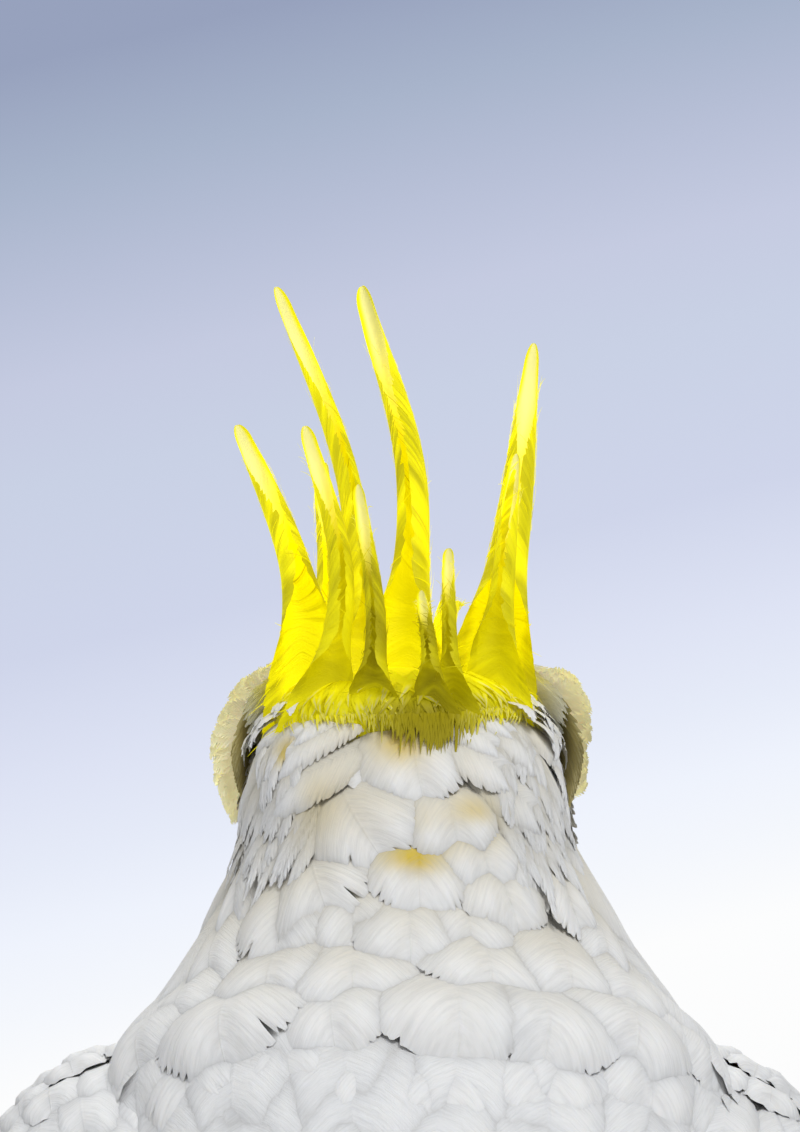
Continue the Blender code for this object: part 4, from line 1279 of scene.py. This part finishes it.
def quills():
    """For each long feather of a wing, secondaries before primaries: a and b of its root, a and b of its
    tip, half width, how far it lies over the skin, and how deep its root is sunk."""
    share, other = np.linspace(0, 1, 11), np.linspace(0, 1, 10)
    inner = (0.40 + 0.04 * share, 0.86 - 1.30 * share, 0.70 + 0.16 * share, 0.74 - 1.02 * share,
             10.5 - 2.0 * share, 2.4 - 2.4 * share, 3.0 + 0 * share)
    outer = (0.47 + 0 * other, -0.30 - 0.60 * other, 1.0 - 0.15 * other, 0.20 - 0.95 * other,
             7.5 - 2.2 * other, -0.2 - 1.4 * other, 1.4 + 0 * other)
    return np.concatenate([inner, outer], axis=1)


class COCKATOO_OT_wings(Operator):
    """The folded wings: coverts in rows, long secondaries, and primaries that cross over the tail"""

    bl_idname = "cockatoo.wings"
    bl_label = "Wings"

    def execute(self, context):
        plumage = context.scene.cockatoo.plumage
        white = white_feathers(plumage)
        for side, sign in SIDES.items():
            rng = np.random.default_rng(plumage.seed + (3 if sign > 0 else 4))
            surface = wing(side)
            top = scatter(surface, (-0.02, 0.44), (-0.95, 0.95), lambda a: 5.0 + 2.5 * smooth(0, 0.2, a),
                          lambda a: 6.5 + 4.5 * smooth(0, 0.2, a), rng)
            edge = scatter(surface, (0.44, 0.70), (-1.0, -0.55), 8.0, 7.0, rng)
            a, b = np.concatenate([top, edge], axis=1)
            length = (15.0 + 21.0 * smooth(0.0, 0.45, a)) * rng.uniform(0.9, 1.1, len(a))
            half = (4.6 + 6.4 * smooth(0.0, 0.40, a)) * rng.uniform(0.9, 1.1, len(a))
            rest = dict(lines=20, columns=7, rng=rng, depth=1.6 + smooth(0.0, 0.2, a), camber=0.10, teeth=0.3,
                        notch=0.8, rim=1.3, puff=0.7, rise=1.3, sweep=1.4, turns=False)
            coat("coverts_" + side, [(surface, -sign, a, b, length, half, 0.0, rest)], white)
            core_a, core_b = np.linspace(0.02, 0.70, 60), np.linspace(-1, 1, 24) * 0.93
            outer = shell(surface, core_a, core_b, 2.8, -sign)
            thick = 4.2 + 13.0 * smooth(0.60, 0.30, core_a)[:, None, None]
            inner = shell(surface, core_a, core_b[::-1], thick, -sign)
            down = material_once(
                "wing_down", lambda: skin_material("wing_down", plumage.white, plumage.low_root, 700.0))
            tube_object("wing_skin_" + side, [np.concatenate([outer, inner], 1)], down, "white_feather",
                        "wing_" + side)
            root_a, root_b, tip_a, tip_b, half, over, depth = quills()
            flight = [lay(
                surface, -sign, (root_a, root_b), (tip_a, tip_b), half, lines=80, columns=13, rng=rng,
                depth=depth, end=-0.8, over=over, camber=0.10, bulge=0.03, roll=0.0, tilt=-0.07, fray=0.1,
                root=0.5, widest=0.5, sweep=1.5, teeth=0.3, tip=2.0, turns=False,
            )]
            feather_object("flight_" + side, flight, white, "white_feather", painted_shade=under_edge_shade(surface, flight))
        return {"FINISHED"}


class COCKATOO_OT_tail(Operator):
    """Twelve tail feathers, and the coverts above them"""

    bl_idname = "cockatoo.tail"
    bl_label = "Tail"

    def execute(self, context):
        plumage = context.scene.cockatoo.plumage
        rng = np.random.default_rng(plumage.seed + 5)
        white = white_feathers(plumage)
        across = np.linspace(-1, 1, 12)
        long = [lay(
            tail, 1.0, (0.05 + 0 * across, across * 0.7), (0.99 - 0.035 * across**2, across * 0.72), 11.5,
            lines=70, columns=11, rng=rng, depth=1.9, over=2.6 * (1 - np.abs(across)), end=-1.9, camber=0.03,
            bulge=0.03, roll=0.0, fray=0.1, root=0.5, tilt=0.07 * np.sign(across), widest=0.75, sweep=1.2,
            teeth=0.35, tip=2.4, turns=False,
        )]
        above = long[0][0][..., 2]
        np.maximum(above, 0.35, out=above)
        feather_object("tail_feathers", long, white, "white_feather", "tail", painted_shade=under_edge_shade(tail, long))
        a, b = scatter(tail, (-0.05, 0.30), (-0.95, 0.95), 9.0, 9.0, rng)
        rest = dict(lines=10, columns=7, rng=rng, depth=1.2, teeth=0.5, end=0.8, turns=False)
        coat("coat_tail", [(tail, 1.0, a, b, 30.0, 7.5, 0.0, rest)], white)
        return {"FINISHED"}


def crest_knots():
    """The middle lines of the crest feathers with their half widths and rolls. A feather opens into a wide
    skirt at its root, is rolled shut in the middle, and opens again like a spoon at its end."""
    places, knots = np.linspace(0, 1, 15), []
    for feather in CREST_FEATHERS.values():
        root_x, root_y, mid_x, mid_up, tip_x, tip_y, tip_up, low, middle, high, flare = feather[:-1]
        path = np.array([
            (CREST_X - root_x, root_y, CREST_LINE - 5.5),
            (CREST_X - mid_x, 0.75 * root_y + 0.25 * tip_y, CREST_LINE + mid_up),
            (CREST_X - tip_x, tip_y, CREST_LINE + tip_up),
        ])
        above = places * np.linalg.norm(path[2] - path[0]) * 1.05 / flare
        skirt = (1 - smooth(0.0, 1.0, above)[:, None]) ** 1.3
        widths = rows(np.array([[middle], [0.72 * middle], [0.85 * high]]), places)
        widths = widths * 0.95 + (low * 1.25 - middle) * skirt
        curls = -0.35 + 3.35 * smooth(0.0, 0.95, above) - 1.85 * smooth(0.62, 1.0, places) + 1e-3
        knots.append(np.column_stack([rows(path, places), widths, curls, above]))
    return knots


class COCKATOO_OT_crest(Operator):
    """The raised crest: long rolled feathers, and the soft short ones about their roots"""

    bl_idname = "cockatoo.crest"
    bl_label = "Crest"

    def execute(self, context):
        crest, plumage = context.scene.cockatoo.crest, context.scene.cockatoo.plumage
        rng = np.random.default_rng(plumage.seed + 6)
        yellow = crest_material("crest_feather", crest)
        knots = crest_knots()
        turns = rng.uniform(-0.35, 0.35, len(knots))
        # How olive each crest feather is: painted shade for the ones that stand in shadow.
        shade_tones = np.array([feather[-1] for feather in CREST_FEATHERS.values()])
        points, made = long_feathers(knots, turns, 120, 33, rng)
        made["own"] = shade_tones[:, None, None] + 0 * made["along"]
        roots = 0.1 + 0.8 * np.linspace(0, 1, len(knots)), np.full(len(knots), 0.5)
        feather_object("crest_feathers", [(points, made, 1.0, roots)], yellow, "crest_feather", "crest")
        points, made = loose_barbs(knots, turns, 110, rng)
        made["own"] = np.repeat(shade_tones, 110)[:, None, None] + 0 * made["along"]
        roots = rng.uniform(0.05, 0.95, (2, len(points)))
        feather_object("crest_barbs", [(points, made, 1.0, roots)], yellow, "crest_feather")
        a, b = scatter(pad, (0.28, 0.86), (-math.pi, math.pi), 1.5, 2.3, rng, 0.6)
        length, half = rng.uniform(12.0, 19.0, len(a)), rng.uniform(0.6, 1.1, len(a))
        strand = dict(lines=9, columns=3, rng=rng, end=0.15, camber=0.0, teeth=0.0, fray=0.0, depth=0.5,
                      widest=0.3, sweep=4.0, tip=1.3, roll=0.0)
        tufts = [grown(pad, 1.0, a, b, length, half, rng.normal(0, 0.2, len(a)),
                       dict(strand, over=rng.uniform(-0.1, 0.1, len(a))))]
        count = 760
        x = rng.uniform(-25, 29, count)
        deep = np.exp(-(((x + 2) / 8.5) ** 2))
        roots = on_back(0.92 * x, 320.5 - 2.5 * rng.random(count) ** 2)
        ends = on_back(0.97 * x + rng.normal(0, 0.8, count), 317.5 - 5.5 * deep + rng.normal(0, 1.9, count))
        tufts.append(lay(body, 1.0, roots, ends, rng.uniform(0.2, 0.42, count),
                         over=rng.uniform(1.15, 1.4, count), **strand))
        # Painted shade: tufts in the middle of the back, under the crest, get a high own number and so turn
        # more olive.
        for points, made, _, _ in tufts:
            x, y = points[:, 4, 1, 0], points[:, 4, 1, 1]
            low = np.exp(-(((x + 1.5) / 9.5) ** 2)) * smooth(-42.0, -26.0, y)
            made["own"] = (0.25 + 0.7 * low)[:, None, None] + 0.1 * made["own"]
        soft = crest_material("crest_tuft", crest, 0.3, 1.0)
        feather_object("crest_tufts", tufts, soft, "crest_feather")
        bare = skin_material("crest_skin", crest.lemon, crest.lemon)
        mound = shell(pad, np.linspace(0.02, 1.0, 24), around(48), 2.4)
        tube_object("crest_skin", [mound], bare, "crest_feather")
        return {"FINISHED"}


class COCKATOO_OT_ruffs(Operator):
    """The fans of cream feathers that stand out behind the cheeks"""

    bl_idname = "cockatoo.ruffs"
    bl_label = "Cheek fans"

    def execute(self, context):
        crest, plumage = context.scene.cockatoo.crest, context.scene.cockatoo.plumage
        # The cream fans get a painted glow, light of their own that stands for light coming through them, and
        # painted shade under their feathers' edges.
        cream = feather_material(
            "cheek_plumage", crest.cream, plumage.white, plumage.white, 0.3, 0.75, 0.15, streak=0.16,
            bump=0.0001, spots=crest.cream, soft=0.15, soft_scale=0.003, glow=(*crest.cream, 1),
            glow_strength=0.32,
        )
        # Painted shade: brown for the shadow inside the fan's roll, darker at the root.
        painted_shade_brown = feather_material("cheek_shade_lining", KHAKI, toned(KHAKI, 0.3), crest.cream, 0.25, 0.8, 0.4)
        for side, sign in SIDES.items():
            rng = np.random.default_rng(plumage.seed + (8 if sign > 0 else 9))
            surface = ruff(side)
            share = np.linspace(0, 1, 17)
            if sign > 0:
                a, b = 0.02 + 1.0 * share, -0.1 + 0.66 * np.sin(math.pi * np.minimum(share, 0.97)) ** 0.8
            else:
                rise = smooth(0, 0.25, share) - smooth(0.22, 0.85, share)
                a, b = 0.14 + 0.62 * share, -0.1 + 1.1 * rise
            fan = [lay(
                surface, -sign, (-0.12 + 0.85 * share, -1.3 + 0.25 * np.sin(math.pi * share)),
                (a, b + rng.normal(0, 0.06, 17)), 2.7, lines=48, columns=9, rng=rng, depth=0.9, end=-0.4,
                over=0.9 * share + rng.uniform(0, 0.5, 17), teeth=0.45, notch=0.8, widest=0.6, fray=0.1,
                roll=0.05, camber=0.1, bulge=0.03, sweep=2.8, puff=0.8, tip=1.5, turns=False,
            )]
            feather_object("cheek_fan_" + side, fan, cream, "cheek_feather", "ruff_" + side,
                           painted_shade=under_edge_shade(surface, fan))
            share = np.linspace(0, 1, 9)
            ends = 0.62 + 0.34 * share, 0.12 - 0.4 * share + (sign < 0) * 0.2
            # A layer of brown feathers inside each fan's roll, painted shade for the shadow within it.
            lining = [lay(
                surface, sign, (-0.05 + 0.45 * share, -1.0 + 0.2 * share), ends, 2.8, lines=36, columns=7,
                rng=rng, depth=-1.4, end=2.4, teeth=0.4, notch=0.7, widest=0.55, fray=0.1, sweep=2.2,
                rim=0.3, turns=False,
            )]
            feather_object("cheek_shade_lining_" + side, lining, painted_shade_brown, "cheek_feather")
            share = np.linspace(0, 1, 7)
            band = [lay(
                surface, sign, (-0.14 + 0.1 * share, -0.4 - 0.9 * share),
                (0.36 + 0.16 * share, 0.45 - 0.85 * share), 2.3, lines=40, columns=7, rng=rng, depth=-3.0,
                end=3.6, over=0.5 * share, teeth=0.4, widest=0.5, fray=0.1, sweep=2.8, rim=0.3, tip=1.8,
                turns=False,
            )]
            feather_object("cheek_band_" + side, band, white_feathers(plumage), "cheek_feather",
                           painted_shade=[0 * band[0][1]["along"].ravel()])
        return {"FINISHED"}


def ball_points(middle, radius, polar, turn, axes):
    """Points at a radius from a middle: at an angle polar from the first axis, turned from the second
    towards the third."""
    parts = np.cos(polar), np.sin(polar) * np.cos(turn), np.sin(polar) * np.sin(turn)
    return middle + (radius + 0 * polar)[..., None] * sum(
        part[..., None] * axis for part, axis in zip(parts, axes)
    )


class COCKATOO_OT_eyes(Operator):
    """The eyes with a clear bulging front, and the bare ring of skin with its lids round each"""

    bl_idname = "cockatoo.eyes"
    bl_label = "Eyes"

    def execute(self, context):
        head = context.scene.cockatoo.head
        eye = eye_material(head)
        bare = skin_material("eye_ring", head.ring, toned(head.ring, 0.72), 1400.0, 0.00025, soft=0.2,
                             soft_scale=0.002)
        for side, sign in SIDES.items():
            middle = np.array([HEAD_X + EYE_MIDDLE[0] * sign, *EYE_MIDDLE[1:]])
            axis = unit(np.array([sign, -0.22, 0.06]))
            up = unit(Z_AXIS - axis * axis[2])
            axes = axis, up, np.cross(up, axis) * sign
            polar, turn = np.meshgrid(np.linspace(0.02, 2.6, 48), around(64), indexing="ij")
            radius = (EYE_RADIUS - 0.35) * (1 + 0.05 * np.exp(-((polar / 0.5) ** 2)))
            globe = ball_points(middle, radius, polar, turn, axes)
            ball = tube_object("eyeball_" + side, [globe], eye, "eye", "eye_" + side)
            give(ball, "gaze", "FLOAT", np.concatenate([polar.ravel(), [0.0, 2.6]]))
            uv = np.stack([np.abs(turn / math.pi - 1), polar / 3], -1).reshape(-1, 2)
            give_uv(ball, "globe", np.concatenate([uv, [[0.5, 0.0], [0.5, 0.9]]]))
            share, turn = np.meshgrid(np.linspace(0, 1, 26), around(96), indexing="ij")
            opening = 0.92 - 0.10 * np.cos(2 * turn) - 0.03 * np.cos(turn)
            polar = opening + (1.62 - opening) * share
            fold = 0.16 * np.sin(share * 34.0) * smooth(0.1, 0.3, share)
            bead = 0.55 * np.exp(-((share - 0.07) / 0.06) ** 2) * (1 + 0.18 * np.cos(turn * 30))
            radius = EYE_RADIUS - 0.33 + 0.75 * smooth(0, 0.12, share) + fold + bead + 1.6 * share**2
            outer = ball_points(middle, radius, polar, turn, axes)
            inner = ball_points(middle, EYE_RADIUS - 0.8, polar, turn, axes)
            points = np.concatenate([outer, inner[::-1]])
            index = np.arange(turn.size * 2).reshape(-1, 96)
            index = np.concatenate([index, index[:1]])
            beside = np.roll(index, -1, axis=1)
            quads = np.stack([index[:-1], index[1:], beside[1:], beside[:-1]], -1).reshape(-1, 4)
            placed(mesh_object("lids_" + side, points, quads, bare), "leg_skin")
        return {"FINISHED"}


def bill_points(table, upper):
    """One half of the bill: rings along the table's line. A ring is an ellipse with a ridge on top, a
    hollow on the side where the halves meet, growth lines as waves along it, and for the upper half the
    cere and the nostrils near the root."""
    t, turn = np.meshgrid(np.linspace(0, 1, 90) ** 0.9, around(96), indexing="ij")
    row, up = rows(table, t), np.cross(X_AXIS, run(table, t))
    high, wide = np.cos(turn), np.sin(turn)
    ridge = 1 - 0.16 * np.clip(high, 0, 1) ** 3
    under = np.clip(-high if upper else high, 0, 1)
    hollow = (0.42 if upper else -0.9) * np.exp(-((wide / (0.55 if upper else 0.7)) ** 4)) * under
    lines = 0.05 * np.sin(t * 46.0 + 1.5 * high) * smooth(0.1, 0.3, t)
    if upper:
        nostril = np.exp(-(((t - 0.235) / 0.024) ** 2) - ((np.abs(wide) - 0.52) / 0.13) ** 2) * (high > 0)
        lines += 0.6 * smooth(0.30, 0.24, t) * smooth(-0.2, 0.5, high) - 2.0 * nostril
    close = np.clip((1 - t) / 0.04, 0, 1) ** 0.5
    height = row[..., 2] * close * (high + hollow) + lines * high
    width = row[..., 3] * close * wide * ridge + lines * wide
    middle = np.stack([0 * t + HEAD_X, row[..., 0], row[..., 1]], -1)
    return middle + height[..., None] * up + width[..., None] * X_AXIS


class COCKATOO_OT_bill(Operator):
    """The hooked bill with its ridge, cutting edges, cere and nostrils, and the tongue"""

    bl_idname = "cockatoo.bill"
    bl_label = "Bill"

    def execute(self, context):
        head = context.scene.cockatoo.head
        horn = horn_material("bill_horn", head.bill, head.powder, 160.0, (300.0, 120.0, 60.0))
        for name, table in (("upper", UPPER_BILL), ("lower", LOWER_BILL)):
            grid = bill_points(table, name == "upper")
            tube_object("bill_" + name + "_horn", [grid], horn, "bill_horn", "bill_" + name)
        flesh = skin_material("tongue_skin", toned(head.bill, 2.5), head.bill, 1200.0, 0.0002)
        grid = shell(tube(TONGUE), np.linspace(0, 1, 40), around(40))
        tube_object("tongue", [grid], flesh, "bill_horn")
        return {"FINISHED"}


def ringed(table, count, scale):
    """A tube with its scales raised. The radius grows by a rounded step for each scale, in rings on the
    upper side and in small pebbles below."""
    row = rows(table, np.linspace(0, 1, 20))
    length = np.linalg.norm(np.diff(row[:, :3], axis=0), axis=-1).sum()
    a, b = np.meshgrid(np.linspace(0, 1, count), around(48), indexing="ij")
    points = tube(table)(a, b)
    out = unit(points - rows(table, a)[..., :3])
    level = abs(table[0, 2] - table[-1, 2]) < 8
    upper = smooth(-0.2, 0.35, out[..., 2] if level else -out[..., 1])
    phase = a * length / scale
    plate = 1 - np.abs(2 * (phase - np.floor(phase)) - 1) ** 5
    pebble = np.abs(np.sin(phase * math.pi * 1.4)) * np.abs(np.sin(b * 7 + np.floor(phase * 1.4)))
    relief = 0.42 * plate * upper + 0.3 * pebble * (1 - upper)
    return points + out * (relief * smooth(0, 0.03, a) - 0.25)[..., None]


def toe_line(toe):
    """Where a toe starts, by its place on the foot, and the unit vector that it points along."""
    heading, _, _, root_x, root_ahead, _ = TOES[toe]
    angle = math.radians(heading)
    ahead = np.array([math.sin(angle), -math.cos(angle), 0.0])
    return np.array([FOOT_X + root_x, FOOT_Y - root_ahead, 0.0]), ahead


def leg_grids(scale):
    """The surfaces of one leg: shank, toes with their pads, and the hub where they meet."""
    grids = [ringed(SHANK, 90, scale)]
    for toe, (_, length, thick, *_) in TOES.items():
        start, ahead = toe_line(toe)
        at, pads = np.array(TOE_PADS).T
        path = start - ahead * TOE_SUNK + at[:, None] * (length + TOE_SUNK) * ahead
        path[:, 2] = thick * pads * 0.93
        path[0, 2] += 1.0
        grids.append(ringed(np.column_stack([path, thick * pads]), int(length * 2.6), scale))
    hub = np.array([(FOOT_X, FOOT_Y + y, z, radius) for y, z, radius in HUB])
    return grids + [ringed(hub, 30, scale)]


def nail_grid(toe):
    """The surface of one claw: a tapering tube that rises a little and bends down to its point."""
    start, ahead = toe_line(toe)
    length, thick, claw = (TOES[toe][column] for column in (1, 2, 5))
    at, rise, share = np.array(NAIL).T
    radius = thick * share
    path = start + ahead * length + (0.35 + claw * at)[:, None] * ahead
    path[:, 2] = np.maximum(thick * 0.70 + claw * rise, radius + 0.05)
    return shell(tube(np.column_stack([path, radius])), np.linspace(0, 1, 40), around(32))


class COCKATOO_OT_feet(Operator):
    """The scaled shanks and feet, each one closed skin, and the claws"""

    bl_idname = "cockatoo.feet"
    bl_label = "Legs and feet"

    def execute(self, context):
        foot = context.scene.cockatoo.foot
        scaly = scale_material(foot)
        horn = horn_material("claw_horn", foot.claw, toned(foot.claw, 4), 220.0, (500.0, 500.0, 500.0), 0.3)
        for side, sign in SIDES.items():
            mirror = np.array([sign, 1.0, 1.0])
            grids = [grid * mirror for grid in leg_grids(foot.scale_length / MM)]
            nodes = ["shank_" + side] + [f"toe_{side}_{toe}" for toe in TOES]
            leg = tube_object("leg_" + side, grids, scaly, "leg_skin", *nodes, lowest=0.0)
            remesh(leg, voxel=0.55, rounds=1)
            points = np.empty(len(leg.data.vertices) * 3, np.float32)
            leg.data.vertices.foreach_get("co", points)
            points[2::3] = np.maximum(points[2::3], 0.0)
            leg.data.vertices.foreach_set("co", points)
            for toe in TOES:
                tube_object(f"nail_{side}_{toe}", [nail_grid(toe) * mirror], horn, "claw_horn",
                            f"claw_{side}_{toe}")
        return {"FINISHED"}


class COCKATOO_OT_stage(Operator):
    """A pale floor, a soft pale sky, soft light, and the camera behind the bird"""

    bl_idname = "cockatoo.stage"
    bl_label = "Stage"

    def execute(self, context):
        scene, stage = context.scene, context.scene.cockatoo.stage
        scene.view_settings.view_transform = "Standard"
        scene.world = bpy.data.worlds.new("Pale sky")
        scene.world.use_nodes = True
        sky = Nodes(scene.world.node_tree)
        x, _, z = sky.split(sky.node("TexCoord").outputs["Generated"])
        spread = sky.node("MapRange", {0: sky.maths("MULTIPLY_ADD", x, 0.24, z), 1: -0.09, 2: 0.09})
        ramp = sky.node("ValToRGB", {0: spread.outputs[0]})
        stops = ramp.color_ramp.elements
        stops.remove(stops[1])
        for index, (where, tone) in enumerate(SKY_TONES):
            stop = stops.new(where) if index else stops[0]
            stop.position, stop.color = where, (*tone, 1)
        seen = sky.tree.nodes["Background"]
        sky.put(seen.inputs[0], ramp.outputs[0])
        lit = sky.node("Background", {0: (0.96, 0.975, 1.0, 1), 1: stage.sky})
        direct = sky.node("LightPath").outputs["Is Camera Ray"]
        both = sky.node("MixShader", {0: direct, 1: lit.outputs[0], 2: seen.outputs[0]})
        sky.put(sky.tree.nodes["World Output"].inputs[0], both.outputs[0])

        floor = Shader("floor", 0.9, specular=0.1)
        far = floor.node("VectorMath", {0: floor.object_place()}, operation="LENGTH").outputs["Value"]
        floor.put(floor.base["Alpha"], floor.step(far, 0.5, 1.4, 1.0, 0.0))
        floor.finish((0.80, 0.80, 0.81, 1))
        radius, turn = np.meshgrid(np.linspace(0, 1500.0, 24), np.linspace(0, TAU, 96), indexing="ij")
        grid = np.stack([radius * np.cos(turn), radius * np.sin(turn), 0 * turn], -1)
        index = np.arange(turn.size).reshape(turn.shape)
        quads = np.stack([index[:-1, :-1], index[1:, :-1], index[1:, 1:], index[:-1, 1:]], -1)
        mesh_object("floor", grid - SHIFT, quads.reshape(-1, 4), floor.material)

        aim = (np.array([4.1, -50.0, 347.4]) + SHIFT) * MM
        camera = bpy.data.objects.new("camera", bpy.data.cameras.new("camera"))
        camera.data.lens, camera.data.sensor_width, camera.data.clip_end = stage.lens, 36.0, 40.0
        camera.location = aim + stage.distance * Y_AXIS
        camera.rotation_euler = (math.pi / 2, 0.0, math.pi)
        scene.collection.objects.link(camera)
        scene.camera = camera
        for name, place, size, share in LAMPS:
            lamp = bpy.data.objects.new(name, bpy.data.lights.new(name, "AREA"))
            lamp.data.size, lamp.data.energy, lamp.data.shape = size, stage.key * share, "DISK"
            lamp.location = place
            lamp.rotation_euler = (Vector(LIT) - Vector(place)).to_track_quat("-Z", "Y").to_euler()
            scene.collection.objects.link(lamp)
        return {"FINISHED"}


class COCKATOO_PT_panel(Panel):
    """The bird's settings and the buttons that build its pieces"""

    bl_label = "Cockatoo"
    bl_idname = "COCKATOO_PT_panel"
    bl_space_type = "VIEW_3D"
    bl_region_type = "UI"
    bl_category = "Cockatoo"

    def draw(self, context):
        settings = context.scene.cockatoo
        for group in (settings.plumage, settings.crest, settings.head, settings.foot, settings.stage):
            box = self.layout.box()
            for name in group.__annotations__:
                box.prop(group, name)
        for operator in OPERATORS:
            self.layout.operator(operator.bl_idname)


OPERATORS = (
    COCKATOO_OT_skin, COCKATOO_OT_nape, COCKATOO_OT_body, COCKATOO_OT_face, COCKATOO_OT_wings,
    COCKATOO_OT_tail, COCKATOO_OT_crest, COCKATOO_OT_ruffs, COCKATOO_OT_eyes, COCKATOO_OT_bill,
    COCKATOO_OT_feet, COCKATOO_OT_stage,
)
GROUPS = (PlumageSettings, CrestSettings, HeadSettings, FootSettings, StageSettings, CockatooSettings)
CLASSES = GROUPS + OPERATORS + (COCKATOO_PT_panel,)


def register():
    """Adds the settings, the operators and the panel to Blender."""
    for kind in CLASSES:
        bpy.utils.register_class(kind)
    bpy.types.Scene.cockatoo = PointerProperty(type=CockatooSettings)


def unregister():
    """Takes them out again."""
    del bpy.types.Scene.cockatoo
    for kind in reversed(CLASSES):
        bpy.utils.unregister_class(kind)


def main():
    """Builds every piece in order."""
    register()
    for kind in OPERATORS:
        group, name = kind.bl_idname.split(".")
        getattr(getattr(bpy.ops, group), name)()


if __name__ == "__main__":
    main()
